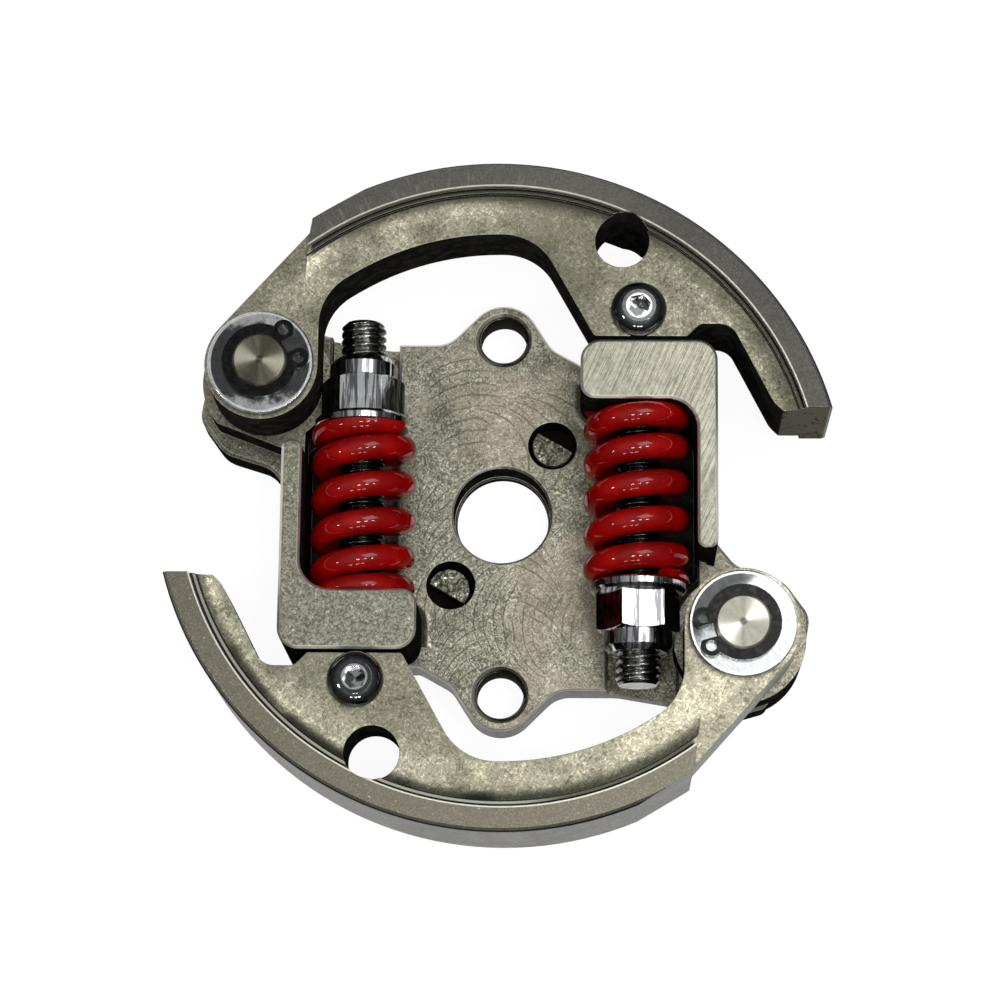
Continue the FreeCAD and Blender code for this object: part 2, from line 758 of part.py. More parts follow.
def make_pivot_washer(side, turn):
    """Flat washer between the shoe's boss and the retaining ring."""
    body = new_body("pivot_washer_" + side)
    bore = size("PivotRadius") + 0.1
    outer = size("WasherRadius")
    thick = size("WasherThickness")
    turned(body, "Washer" + side, profile([
        (bore, 0), (outer - 0.08, 0), (outer, 0.08), (outer, thick - 0.15), (outer - 0.15, thick),
        (bore, thick),
    ]))
    body.Placement = Placement(turn.multVec(pivot) + Vector(0, 0, washer_bottom), turn)
    return body


def make_circlip(side, turn):
    """External retaining ring with two holed lugs beside its mouth."""
    body = new_body("circlip_" + side)
    ring = circle(new_sketch(body, "RingCircle" + side), Vector(), "Sizes.RingRadius")
    pad(body, ring, "RingDisc" + side, "Sizes.RingThickness")
    spread = size("RingLugSpread" + side.capitalize())
    centres = [polar(Vector(), size("RingLugPlace"), angle) for angle in (spread, -spread)]
    for name, centre in zip(("Left", "Right"), centres):
        lug = circle(new_sketch(body, name + "Lug" + side), centre, "Sizes.RingLugRadius")
        pad(body, lug, name + "LugDisc" + side, "Sizes.RingThickness")
    inside = circle(new_sketch(body, "RingInside" + side, "Sizes.RingThickness"), Vector(),
                    "Sizes.PivotRadius - Sizes.RingGroove")
    pocket(body, inside, "RingBore" + side)
    for name, centre in zip(("Left", "Right"), centres):
        hole = circle(new_sketch(body, name + "Hole" + side, "Sizes.RingThickness"), centre,
                      "Sizes.RingHoleRadius")
        pocket(body, hole, name + "LugHole" + side)
    half = size("RingMouth")
    far = size("RingRadius") * 2
    mouth = sharp([Vector(0, -half, 0), Vector(far, -half, 0), Vector(far, half, 0), Vector(0, half, 0)])
    mouth_sketch = draw(new_sketch(body, "Mouth" + side, "Sizes.RingThickness"), rounded(mouth))
    pocket(body, mouth_sketch, "RingMouth" + side)
    facing = Rotation(Vector(0, 0, 1), size("RingTurn" + side.capitalize()))
    body.Placement = Placement(turn.multVec(pivot) + Vector(0, 0, ring_bottom), turn.multiply(facing))
    return body


# Tension studs, cross screws, lock nuts and springs. Their own Z axis runs along
# the stud, away from the shoe.
ALONG_STUD = Rotation(Vector(1, 0, 0), Vector(0, 0, 1), Vector(0, -1, 0), "ZXY")


def stud_place(distance, side, turn, spin=0.0):
    """Placement on the stud's axis at a distance from its eye.

    A stud has play in its hole, so it may lean a little, and a nut on it may
    stand turned by any angle.
    """
    lean = size("StudLean" + side.capitalize())
    spot = stud_point + heading(lean - 90) * distance + Vector(0, 0, size("StudAxisHeight"))
    axis = Rotation(Vector(0, 0, 1), lean).multiply(ALONG_STUD)
    spun = axis.multiply(Rotation(Vector(0, 0, 1), spin))
    return Placement(turn.multVec(spot), turn.multiply(spun))


def nut_distance(side):
    """Distance from the eye to the face of the nut that the spring bears on."""
    lean = math.radians(size("StudLean" + side.capitalize()))
    spring_edge = size("SpringMeanRadius") + size("SpringWireRadius")
    length = size("SpringLength" + side.capitalize())
    return size("StudY") - size("BlockInnerY") + length + spring_edge * math.sin(lean)


def make_stud(side, turn):
    """Stud with a flattened, bored eye at its head."""
    body = new_body("tension_stud_" + side)
    radius = size("StudRadius")
    cut = size("StudChamfer")
    start = size("StudY") - size("StudShoulderY")
    end = size("StudY") - size("StudEndY")
    turned(body, "Shank" + side, profile([
        (0, start), (radius - 0.3, start), (radius, start + 0.3), (radius, end - cut), (radius - cut, end),
        (0, end),
    ]))
    eye = new_sketch(body, "EyeOutline" + side, "-Sizes.EyeThickness / 2", plane="XZ_Plane")
    circle(eye, Vector(), "Sizes.EyeRadius")
    pad(body, eye, "Eye" + side, "Sizes.EyeThickness")
    half = radius - 0.1
    neck = sharp([Vector(-half, 0, 0), Vector(half, 0, 0), Vector(half, start + 0.6, 0),
                  Vector(-half, start + 0.6, 0)])
    neck_sketch = draw(new_sketch(body, "NeckOutline" + side, "-Sizes.EyeThickness / 2", plane="XZ_Plane"),
                       rounded(neck))
    pad(body, neck_sketch, "Neck" + side, "Sizes.EyeThickness")
    bore = new_sketch(body, "EyeBoreCircle" + side, "-Sizes.EyeThickness", plane="XZ_Plane")
    circle(bore, Vector(), "Sizes.ScrewRadius + Sizes.RunningClearance")
    feature = pocket(body, bore, "EyeBore" + side, "Sizes.EyeThickness * 2")
    feature.Reversed = True
    body.Placement = stud_place(0, side, turn)
    return body


def hexagon(across_flats, first_angle=0.0):
    """Corners of a hexagon about the origin."""
    reach = across_flats / math.sqrt(3)
    return sharp([polar(Vector(), reach, first_angle + 60 * step) for step in range(6)])


def make_cross_screw(side, turn):
    """Button-head screw through the shoe's fork and the stud's eye."""
    body = new_body("cross_screw_" + side)
    shank = size("ScrewRadius")
    head = size("ScrewHeadRadius")
    tall = size("ScrewHeadHeight")
    edge = size("ScrewHeadEdge")
    below = size("ForkBottom") + 0.5 - web_top
    crown = head * 0.6
    curves = profile([(0, below), (shank - 0.3, below), (shank, below + 0.3), (shank, 0), (head, 0),
                      (head, edge), (crown, tall), (0, tall)])
    curves[5] = Part.Arc(Vector(head, edge, 0), Vector(head * 0.86, edge + (tall - edge) * 0.62, 0),
                         Vector(crown, tall, 0))
    turned(body, "Screw" + side, curves)
    socket = draw(new_sketch(body, "SocketOutline" + side, "Sizes.ScrewHeadHeight"),
                  rounded(hexagon(size("ScrewSocketAcross"), 12.0)))
    pocket(body, socket, "Socket" + side, "Sizes.ScrewSocketDepth")
    body.Placement = Placement(turn.multVec(stud_point) + Vector(0, 0, web_top), turn)
    return body


def make_lock_nut(side, turn):
    """Hexagon lock nut with a flange against the spring and a collar at its end."""
    body = new_body("lock_nut_" + side)
    flange = size("FlangeRadius")
    thick = size("FlangeThickness")
    flats = size("HexAcrossFlats")
    collar = size("CollarRadius")
    hex_end = thick + size("HexHeight")
    end = hex_end + size("CollarHeight")
    turned(body, "Flange" + side, profile([
        (0, 0), (flange - 0.25, 0), (flange, 0.25), (flange, thick * 0.6), (flange - 0.35, thick * 0.85),
        (flats / 2, thick), (collar, hex_end), (collar, end - 0.7), (collar - 0.55, end), (0, end),
    ]))
    hex_sketch = draw(new_sketch(body, "HexOutline" + side), rounded(hexagon(flats)))
    pad(body, hex_sketch, "Hex" + side, "Sizes.FlangeThickness + Sizes.HexHeight")
    outer = flats * 0.7
    turned(body, "HexChamfer" + side, profile([
        (flats / 2 - 0.05, hex_end), (outer, hex_end - (outer - flats / 2) * 0.55), (outer, hex_end + 0.5),
        (flats / 2 - 0.05, hex_end + 0.5),
    ]), cut=True)
    nut_end = "Sizes.FlangeThickness + Sizes.HexHeight + Sizes.CollarHeight"
    bore = circle(new_sketch(body, "NutBoreCircle" + side, nut_end), Vector(), "Sizes.StudRadius")
    pocket(body, bore, "NutBore" + side)
    seat = circle(new_sketch(body, "InsertCircle" + side, nut_end), Vector(), "Sizes.InsertRadius")
    pocket(body, seat, "InsertSeat" + side, "Sizes.InsertHeight + Sizes.InsertRecess")
    body.Placement = stud_place(nut_distance(side), side, turn, -size("NutTurn" + side.capitalize()))
    return body


def make_nylon_insert(side, turn):
    """Locking ring held in the nut's collar."""
    body = new_body("nylon_insert_" + side)
    outer = size("InsertRadius")
    bore = size("StudRadius")
    tall = size("InsertHeight")
    turned(body, "Insert" + side, profile([(bore, 0), (outer, 0), (outer, tall), (bore, tall)]))
    from_face = size("FlangeThickness") + size("HexHeight") + size("CollarHeight")
    from_face = from_face - size("InsertRecess") - tall
    body.Placement = stud_place(nut_distance(side) + from_face, side, turn)
    return body


def spring_rise(turns, length):
    """Height of the wire's centre after a number of turns from the block."""
    closed = size("SpringClosedTurns")
    start = size("SpringWireRadius") - size("SpringGround")
    rise = size("SpringClosedRise")
    total = size("SpringTurns")
    if turns <= closed:
        return start + rise * turns / closed
    if turns >= total - closed:
        return length - start - rise * (total - turns) / closed
    share = (turns - closed) / (total - 2 * closed)
    return start + rise + share * (length - 2 * start - 2 * rise)


def make_spring(side, turn):
    """Right-handed compression spring with closed and ground ends."""
    length = size("SpringLength" + side.capitalize())
    front = size("SpringFront" + side.capitalize())
    radius = size("SpringMeanRadius")
    total = size("SpringTurns")
    steps = int(total * 12)
    points = []
    for step in range(steps + 1):
        turns = total * step / steps
        spot = polar(Vector(), radius, 90 + 360 * (turns - front))
        points.append(Vector(spot.x, spot.y, spring_rise(turns, length)))
    path = Part.BSplineCurve()
    path.interpolate(points)
    start_tangent = path.tangent(path.FirstParameter)[0]
    wire = Part.makeCircle(size("SpringWireRadius"), points[0], start_tangent)
    pipe = Part.Wire(path.toShape()).makePipeShell([Part.Wire(wire)], True, True)
    width = (radius + size("SpringWireRadius")) * 3
    slab = Part.makeBox(width, width, length, Vector(-width / 2, -width / 2, 0))
    coil = pipe.common(slab)
    node = document.addObject("Part::Feature", "spring_" + side)
    node.Label = "spring_" + side
    node.Shape = coil.Solids[0] if len(coil.Solids) == 1 else coil
    seat = Vector(size("SpringX" + side.capitalize()), size("BlockInnerY"), size("StudAxisHeight"))
    node.Placement = Placement(turn.multVec(seat), turn.multiply(ALONG_STUD))
    return node


def make_drive_pin(side, turn):
    """Pin broken off in the small hole beside the bore: a foot with a half-round stub."""
    body = new_body("drive_pin_" + side)
    disc = circle(new_sketch(body, "PinCircle" + side), Vector(), "Sizes.DriveHoleRadius")
    pad(body, disc, "PinFoot" + side, "Sizes.DriveFootHeight")
    radius = size("DriveStubRadius")
    flat = size("DriveStubFlat")
    off = size("DriveStubSet" + side.capitalize())
    half = math.sqrt(radius ** 2 - flat ** 2)
    upper = Vector(off + flat, half, 0)
    lower = Vector(off + flat, -half, 0)
    outline = [Part.Arc(upper, Vector(off - radius, 0, 0), lower), Part.LineSegment(lower, upper)]
    stub = draw(new_sketch(body, "StubOutline" + side, "Sizes.DriveFootHeight"), outline)
    pad(body, stub, "Stub" + side, "Sizes.DrivePinTop - Sizes.DriveFootHeight")
    spot = Vector(size("DriveHoleX"), size("DriveHoleY"), 0)
    facing = Rotation(Vector(0, 0, 1), size("DriveFlatAngle"))
    body.Placement = Placement(turn.multVec(spot), turn.multiply(facing))
    return body


MAKERS = (make_shoe, make_pivot_pin, make_pivot_washer, make_circlip, make_stud, make_cross_screw,
          make_lock_nut, make_nylon_insert, make_spring, make_drive_pin)
nodes = [make_hub()]
for side_name, side_turn in SIDES.items():
    for maker in MAKERS:
        nodes.append(maker(side_name, side_turn))
document.recompute()

for item in document.Objects:
    if "Invalid" in item.State or "Error" in item.State:
        raise RuntimeError("%s is not sound: %s" % (item.Label, item.State))
os.makedirs("parts", exist_ok=True)
for node in nodes:
    shape = node.Shape
    box = shape.BoundBox
    print("%-22s %8.1f mm3  %6.2f %6.2f %6.2f  solids %d" % (node.Label, shape.Volume, box.XLength,
                                                            box.YLength, box.ZLength, len(shape.Solids)))
    if shape.isNull() or not shape.isValid() or len(shape.Solids) != 1:
        raise RuntimeError("%s has no single sound solid" % node.Label)
    shape.exportStep("parts/%s.step" % node.Label)
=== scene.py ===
import json
import math

import bmesh
import bpy
from mathutils import Matrix, Vector, noise

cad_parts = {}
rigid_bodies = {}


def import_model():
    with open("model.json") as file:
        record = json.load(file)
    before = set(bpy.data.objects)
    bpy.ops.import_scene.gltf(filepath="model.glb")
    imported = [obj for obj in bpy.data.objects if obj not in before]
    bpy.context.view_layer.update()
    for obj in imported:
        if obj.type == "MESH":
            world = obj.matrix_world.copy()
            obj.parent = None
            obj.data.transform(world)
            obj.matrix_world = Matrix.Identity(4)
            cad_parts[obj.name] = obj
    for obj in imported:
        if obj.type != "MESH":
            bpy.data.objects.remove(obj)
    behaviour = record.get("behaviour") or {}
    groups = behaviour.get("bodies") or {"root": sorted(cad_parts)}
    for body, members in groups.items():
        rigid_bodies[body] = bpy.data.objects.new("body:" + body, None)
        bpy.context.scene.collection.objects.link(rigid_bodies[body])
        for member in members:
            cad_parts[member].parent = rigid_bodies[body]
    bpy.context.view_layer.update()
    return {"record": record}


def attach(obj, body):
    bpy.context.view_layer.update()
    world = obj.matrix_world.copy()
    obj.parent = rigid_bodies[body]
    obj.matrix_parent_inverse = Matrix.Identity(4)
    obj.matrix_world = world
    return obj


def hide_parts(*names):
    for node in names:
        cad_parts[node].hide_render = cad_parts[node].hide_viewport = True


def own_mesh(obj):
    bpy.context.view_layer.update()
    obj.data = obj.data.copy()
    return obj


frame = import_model()
MM = 0.001
SIDES = {"upper": 1, "lower": -1}

# Camera: its place and lens come from the perspective of the photo
HUB_TOP = 5.0 * MM
ELEVATION = math.radians(13.47)
AZIMUTH = math.radians(1.82)
ROLL = math.radians(0.64)
DISTANCE = 360.05 * MM
SHIFT_RIGHT = -0.20 * MM
SHIFT_UP = 1.71 * MM
FOCAL_PIXELS = 3212.5
IMAGE_PIXELS = 1000
SENSOR = 36.0

# Places and sizes that materials and pieces follow, in millimetres; leans are in degrees
PLATE_TOP = 5.0
BLOCK_TOP = 16.0
RIM_TOP = 17.6
PIVOT = (-26.39, 14.49)
RETRACT = math.radians(1.57)
RIM_INNER = 35.25
LEDGE_INNER = 34.65
RIM_END = 21.4
DRUM_RADIUS = 38.0
EYE = (15.2, 20.74, 11.0)
STUD_RADIUS = 2.5
STUD_START = 4.3
STUD_END = 41.14
STUD_END_RADIUS = 2.06
STUD_SIDES = 56
STUD_LEAN = {"upper": 0.0, "lower": 0.3}
SPRING_LENGTH = {"upper": 19.7, "lower": 18.9}
SPRING_X = {"upper": 15.0, "lower": 15.1}
SPRING_TURNS = {"upper": 5.6, "lower": 5.35}
SPRING_FRONT = {"upper": 0.72, "lower": 0.2}
SPRING_START = -0.3
SPRING_CLOSED_RISE = 2.8
SPRING_RADIUS = 4.45
WIRE_RADIUS = 1.4
WIRE_SIDES = 32
STEPS_PER_TURN = 60
BLOCK_FACE_Y = 10.7
LOBE_HOLE = (0.0, 20.4)
LOBE_HOLE_RADIUS = 2.8
LOBE_THREAD_LENGTH = 4.3
LOBE_THREAD_START = 0.15
LOBE_THREAD_ENDS = (0.1, 4.6)
LOBE_SIDES = 64
THREAD_PITCH = 0.9
THREAD_STEPS = 8
STUD_THREAD_DEPTH = 0.34
LOBE_THREAD_DEPTH = 0.22
THREAD_TAPER = 0.5
THREAD_CHAMFER = 0.45
SOCKET_RADIUS = 1.2

# Drive pins that broke off: a foot fills the hole and half a stub stands on it
DRIVE_HOLE = (5.62, 8.04)
STUB_ANGLE = math.radians(60.0)
STUB_OFFSET = {"upper": 0.1, "lower": 0.4}
STUB_RADIUS = 2.25
STUB_FLAT = 0.5
STUB_TOP = 4.45
STUB_CELL = 0.07
FOOT_RADIUS = 2.75
FOOT_HEIGHT = 1.4

# Values that materials share; the painted shine of the two turned pins starts at different angles
FULL_TURN = 2 * math.pi
FAN_STARTS = (math.radians(35), math.radians(-15))
# Colour of painted shade in hollows and under parts
SHADE_BLACK = (0.010, 0.009, 0.007)
SHADOW_BLACK = (0.012, 0.011, 0.009)

# Lamps, world and table: places and sizes in metres
SOFTBOX_SPOT = (0.26, 0.20, 0.80)
BULB_SPOTS = ((-0.50, -0.17, 0.45), (-0.04, -0.17, 0.60), (0.13, -0.17, 0.60), (0.30, -0.17, 0.58))
WINDOW_SPOTS = ((-0.13, -0.50, 0.33), (0.0, -0.50, 0.33), (0.09, -0.50, 0.33))
SKY = ((0.05, (0.03, 0.03, 0.031, 1)), (0.62, (0.16, 0.16, 0.162, 1)), (0.93, (0.60, 0.60, 0.60, 1)))
TABLE_GREY = (0.5, 0.5, 0.5, 1)
SHADOW_GREY = (0.13, 0.13, 0.13, 1)
TABLE_GLOW = 0.93


# Material nodes


def rgba(colour):
    """Colour with alpha for a socket, or the socket that gives the colour."""
    return colour if isinstance(colour, bpy.types.NodeSocket) else (*colour, 1)


class Recipe:
    """One procedural material, with short calls that add its nodes."""

    def __init__(self, name):
        self.material = bpy.data.materials.new(name)
        self.material.use_nodes = True
        self.tree = self.material.node_tree
        self.shader = self.tree.nodes["Principled BSDF"]
        metres = self.add("ShaderNodeTexCoord").outputs["Object"]
        scaled = self.add("ShaderNodeVectorMath", {0: metres, "Scale": 1 / MM}, operation="SCALE")
        self.place = scaled.outputs[0]
        self.x, self.y, self.z = self.add("ShaderNodeSeparateXYZ", {0: self.place}).outputs
        facing = self.add("ShaderNodeNewGeometry").outputs["True Normal"]
        local = self.add("ShaderNodeVectorTransform", {0: facing}, vector_type="NORMAL",
                         convert_from="WORLD", convert_to="OBJECT").outputs[0]
        _, self.facing_y, facing_z = self.add("ShaderNodeSeparateXYZ", {0: local}).outputs
        self.up = self.calc("ABSOLUTE", facing_z)

    def add(self, kind, sockets=None, **settings):
        node = self.tree.nodes.new(kind)
        for key, value in settings.items():
            setattr(node, key, value)
        for key, value in (sockets or {}).items():
            self.feed(node.inputs[key], value)
        return node

    def feed(self, socket, value):
        if isinstance(value, bpy.types.NodeSocket):
            self.tree.links.new(value, socket)
        else:
            socket.default_value = value

    def calc(self, operation, a, b=0.0):
        return self.add("ShaderNodeMath", {0: a, 1: b}, operation=operation).outputs[0]

    def times(self, a, *factors):
        for factor in factors:
            a = self.calc("MULTIPLY", a, factor)
        return a

    def plus(self, a, b):
        return self.calc("ADD", a, b)

    def minus(self, a, b):
        return self.calc("SUBTRACT", a, b)

    def rest(self, share):
        """What a share leaves of 1."""
        return self.minus(1.0, share)

    def most(self, a, b):
        return self.calc("MAXIMUM", a, b)

    def least(self, a, b):
        return self.calc("MINIMUM", a, b)

    def size(self, a):
        """Value without its sign."""
        return self.calc("ABSOLUTE", a)

    def pick(self, share, a, b):
        """Number a where the share is 0 and b where it is 1."""
        return self.add("ShaderNodeMix", {0: share, 2: a, 3: b}).outputs[0]

    def ease(self, value, low, high, start=0.0, end=1.0):
        """Smooth change from start to end while the value goes from low to high."""
        sockets = {"Value": value, "From Min": low, "From Max": high, "To Min": start, "To Max": end}
        node = self.add("ShaderNodeMapRange", sockets, interpolation_type="SMOOTHSTEP")
        return node.outputs["Result"]

    def mix(self, share, a, b, mode="MIX"):
        node = self.add("ShaderNodeMix", {0: share}, data_type="RGBA", blend_type=mode)
        self.feed(node.inputs[6], rgba(a))
        self.feed(node.inputs[7], rgba(b))
        return node.outputs[2]

    def noise(self, scale, detail=2.0, rough=0.5, distortion=0.0, place=None):
        sockets = {"Vector": place or self.place, "Scale": scale, "Detail": detail,
                   "Roughness": rough, "Distortion": distortion}
        return self.add("ShaderNodeTexNoise", sockets).outputs["Fac"]

    def turned(self, degrees, stretch=(1, 1, 1)):
        """Place turned about Z and then stretched, for marks that run one way."""
        rotation = (0, 0, math.radians(degrees))
        node = self.add("ShaderNodeMapping", {"Vector": self.place, "Rotation": rotation})
        return self.add("ShaderNodeMapping", {"Vector": node.outputs[0], "Scale": stretch}).outputs[0]

    def lines(self, degrees, spacing, length, seed=0.0):
        """Fine straight marks along a direction, 0 to 1."""
        place = self.turned(-degrees, (1 / length, 1 / spacing, 1 / length))
        moved = self.add("ShaderNodeVectorMath", {0: place, 1: (seed, seed, 0)}, operation="ADD").outputs[0]
        return self.noise(1.0, 3.0, 0.6, 0.0, moved)

    def from_point(self, x, y):
        """Distance in the plan from a point."""
        flat = self.add("ShaderNodeCombineXYZ", {0: self.x, 1: self.y}).outputs[0]
        away = self.add("ShaderNodeVectorMath", {0: flat, 1: (x, y, 0)}, operation="DISTANCE")
        return away.outputs["Value"]

    def turn_about(self, x, y, per_turn=400.0):
        """Angle in the plan about a point, scaled so that one turn is per_turn."""
        away = [self.minus(part, centre) for part, centre in ((self.y, y), (self.x, x))]
        return self.times(self.calc("ARCTAN2", *away), per_turn / FULL_TURN)

    def edges(self, radius, samples=4):
        """Softened normal of edges, and how near an edge each point is."""
        soft = self.add("ShaderNodeBevel", {"Radius": radius * MM}, samples=samples).outputs[0]
        same = self.add("ShaderNodeNewGeometry").outputs["Normal"]
        near = self.add("ShaderNodeVectorMath", {0: soft, 1: same}, operation="DOT_PRODUCT")
        return soft, self.ease(near.outputs["Value"], 0.985, 0.82)

    def film(self, share):
        """Where share is 1 the metal lies under a matt film: oxide on the walls, and matt where shade is
        painted.
        """
        bare = self.rest(share)
        self.feed(self.shader.inputs["Metallic"], bare)
        self.feed(self.shader.inputs["Specular IOR Level"], self.times(bare, 0.5))

    def finish(self, colour, rough, height=None, depth=0.01, normal=None, **constant):
        """Join the results to the shader; depth is the height of the relief in millimetres."""
        self.feed(self.shader.inputs["Base Color"], rgba(colour))
        self.feed(self.shader.inputs["Roughness"], rough)
        for key, value in constant.items():
            self.feed(self.shader.inputs[key.replace("_", " ")], value)
        if height is not None:
            bump = self.add("ShaderNodeBump", {"Height": height, "Distance": depth * MM, "Strength": 1.0})
            if normal is not None:
                self.feed(bump.inputs["Normal"], normal)
            normal = bump.outputs[0]
        if normal is not None:
            self.feed(self.shader.inputs["Normal"], normal)
        return self.material


# Materials


def mottle(recipe, dark, middle, light, grain=2.6):
    """Colour and height of worn metal: fine curly specks over slow patches."""
    fine = recipe.noise(grain, 3.0, 0.62, 0.9)
    coarse = recipe.noise(0.32, 2.0, 0.5)
    level = recipe.plus(fine, recipe.times(recipe.minus(coarse, 0.5), 0.35))
    shade = recipe.mix(recipe.ease(level, 0.30, 0.50), dark, middle)
    colour = recipe.mix(recipe.ease(level, 0.52, 0.72), shade, light)
    return colour, level


def cutter_marks(recipe, degrees, across, radius, feed):
    """Thin arcs that a cutter of one radius leaves as it moves along a straight path, 0 to 1."""
    place = recipe.turned(-degrees)
    u, v, _ = recipe.add("ShaderNodeSeparateXYZ", {0: place}).outputs
    v = recipe.minus(v, across)
    inside = recipe.minus(radius * radius, recipe.times(v, v))
    bulge = recipe.calc("SQRT", recipe.most(inside, 0.0))
    along = recipe.plus(recipe.minus(u, bulge), recipe.times(recipe.noise(0.7, 2.0), 0.5))
    step = recipe.calc("PINGPONG", recipe.calc("DIVIDE", along, feed), 0.5)
    thin = recipe.ease(step, 0.12, 0.02)
    patch = recipe.ease(recipe.noise(0.13, 2.0, 0.5, 0.0, recipe.turned(degrees + 20)), 0.46, 0.56)
    return recipe.times(recipe.times(thin, patch), recipe.ease(inside, 0.0, 3.0))


def hub_grain(recipe, plate):
    """Colour, height and cutter marks of the hub's milled faces."""
    curls = recipe.noise(1.35, 3.0, 0.66, 3.0)
    coarse = recipe.noise(0.30, 2.0, 0.5)
    level = recipe.plus(curls, recipe.times(recipe.minus(coarse, 0.5), 0.25))
    colour = recipe.mix(recipe.ease(level, 0.38, 0.62), (0.105, 0.101, 0.076), (0.33, 0.322, 0.250))
    colour = recipe.mix(recipe.ease(level, 0.62, 0.72), colour, (0.78, 0.76, 0.64))
    warm = recipe.ease(recipe.noise(0.10, 2.0, 0.6), 0.48, 0.62)
    colour = recipe.mix(recipe.times(warm, 0.35), colour, (0.33, 0.285, 0.22))
    marks = recipe.most(cutter_marks(recipe, 14, 6.5, 6.6, 1.9), cutter_marks(recipe, 97, 2.0, 7.6, 1.4))
    marks = recipe.most(marks, cutter_marks(recipe, 171, 11.0, 7.0, 1.1))
    marks = recipe.times(plate, marks)
    return recipe.mix(recipe.times(marks, 0.6), colour, (0.075, 0.070, 0.050)), level, marks


def block_tops(recipe, colour, flat):
    """Colour and height of the blocks' tops: ground in slanting lines on the right, matt on the left."""
    ground = recipe.plus(recipe.lines(66, 0.16, 5.0), recipe.times(recipe.noise(1.6, 3.0), 0.35))
    ground_colour = recipe.mix(recipe.ease(ground, 0.48, 0.86), (0.20, 0.192, 0.150), (0.44, 0.425, 0.345))
    matt = recipe.noise(3.4, 3.0, 0.6, 0.8)
    matt_colour = recipe.mix(recipe.ease(matt, 0.36, 0.66), (0.115, 0.113, 0.089), (0.315, 0.309, 0.245))
    matt_colour = recipe.mix(recipe.ease(matt, 0.66, 0.74), matt_colour, (0.80, 0.79, 0.70))
    right = recipe.ease(recipe.x, -1, 1)
    top = recipe.times(recipe.ease(recipe.z, BLOCK_TOP - 0.5, BLOCK_TOP - 0.2), flat)
    colour = recipe.mix(top, colour, recipe.mix(right, matt_colour, ground_colour))
    return colour, recipe.times(ground, top, right)


def springs_painted_shade(recipe):
    """Share of the painted shade on the plate under and beside the springs."""
    sideways = recipe.size(recipe.x)
    shaded_by_springs = recipe.times(recipe.ease(sideways, 11.0, 17.5), recipe.ease(sideways, 24.5, 22.5))
    shaded_by_springs = recipe.times(shaded_by_springs, recipe.ease(recipe.size(recipe.y), 15.0, 9.0))
    return recipe.times(shaded_by_springs, recipe.ease(recipe.z, PLATE_TOP + 1.5, PLATE_TOP + 1.0))


def hub_walls(recipe, colour, from_lobe, from_bore):
    """Colour of the hub with its dark walls, and how matt they are."""
    wall = recipe.ease(recipe.up, 0.55, 0.30)
    patch = recipe.ease(recipe.noise(0.9, 3.0), 0.4, 0.65)
    walls = recipe.mix(patch, (0.010, 0.0095, 0.0075), (0.021, 0.020, 0.016))
    shade = recipe.most(recipe.ease(from_lobe, 3.15, 3.0), recipe.ease(from_bore, 11.0, 10.0))
    shade = recipe.most(shade, recipe.ease(recipe.z, PLATE_TOP + 0.1, PLATE_TOP + 0.4))
    shade = recipe.most(shade, recipe.ease(recipe.size(recipe.x), 17.0, 19.0))
    lip = recipe.times(recipe.ease(from_bore, 5.4, 5.3), recipe.ease(recipe.z, 4.4, 4.2))
    colour = recipe.mix(wall, colour, recipe.mix(shade, (0.045, 0.043, 0.036), walls))
    return recipe.mix(lip, colour, SHADOW_BLACK), recipe.most(recipe.times(wall, shade), lip)


def hub_edges(recipe, colour, near, from_lobe, from_bore):
    """Colour of the hub with painted highlights on its edges and chamfers, which round holes get on the
    left part of theirs only, and painted shade inside the tapped holes.
    """
    chamfer = recipe.times(recipe.ease(recipe.up, 0.40, 0.60), recipe.ease(recipe.up, 0.97, 0.88))
    coves = recipe.times(recipe.ease(recipe.z, PLATE_TOP + 0.02, PLATE_TOP + 0.1),
                         recipe.ease(recipe.z, BLOCK_TOP - 1.0, BLOCK_TOP - 1.2))
    chamfer = recipe.times(chamfer, recipe.rest(coves))
    chamfer = recipe.times(chamfer, recipe.ease(recipe.z, PLATE_TOP - 0.5, PLATE_TOP - 0.4))
    at_hole = recipe.most(recipe.ease(from_lobe, 3.5, 3.4), recipe.ease(from_bore, 6.4, 6.2))
    lit = recipe.ease(recipe.x, 0.5, -2.0)
    chamfer = recipe.times(chamfer, recipe.most(recipe.rest(at_hole), lit))
    # Painted shade inside the tapped holes
    in_hole = recipe.times(recipe.ease(from_lobe, 2.95, 2.85), recipe.ease(recipe.z, 4.98, 4.9))
    colour = recipe.mix(in_hole, colour, (0.030, 0.028, 0.021))
    # Painted highlights on the edges and chamfers
    bright = recipe.times(near, 0.7, recipe.ease(recipe.up, 0.25, 0.6))
    bright = recipe.most(bright, recipe.times(chamfer, 0.9))
    return recipe.mix(bright, colour, (0.90, 0.88, 0.78))


def hub_steel():
    recipe = Recipe("hub_steel")
    flat = recipe.ease(recipe.up, 0.6, 0.9)
    plate = recipe.times(flat, recipe.ease(recipe.z, PLATE_TOP + 2, PLATE_TOP + 1))
    from_bore = recipe.from_point(0, 0)
    from_lobe = recipe.least(recipe.from_point(*LOBE_HOLE), recipe.from_point(LOBE_HOLE[0], -LOBE_HOLE[1]))
    colour, level, marks = hub_grain(recipe, plate)
    colour, ground = block_tops(recipe, colour, flat)
    # Painted shade on the plate round the springs, dark and matt
    shaded_by_springs = springs_painted_shade(recipe)
    colour = recipe.mix(recipe.times(shaded_by_springs, 0.95), colour, SHADE_BLACK)
    colour, matt_share = hub_walls(recipe, colour, from_lobe, from_bore)
    recipe.film(recipe.most(matt_share, recipe.times(shaded_by_springs, 0.9)))
    soft, near = recipe.edges(0.16)
    colour = hub_edges(recipe, colour, near, from_lobe, from_bore)
    height = recipe.plus(recipe.minus(level, recipe.times(marks, 0.5)), ground)
    rough = recipe.ease(level, 0.3, 0.7, 0.50, 0.36)
    return recipe.finish(colour, rough, height, 0.018, soft)


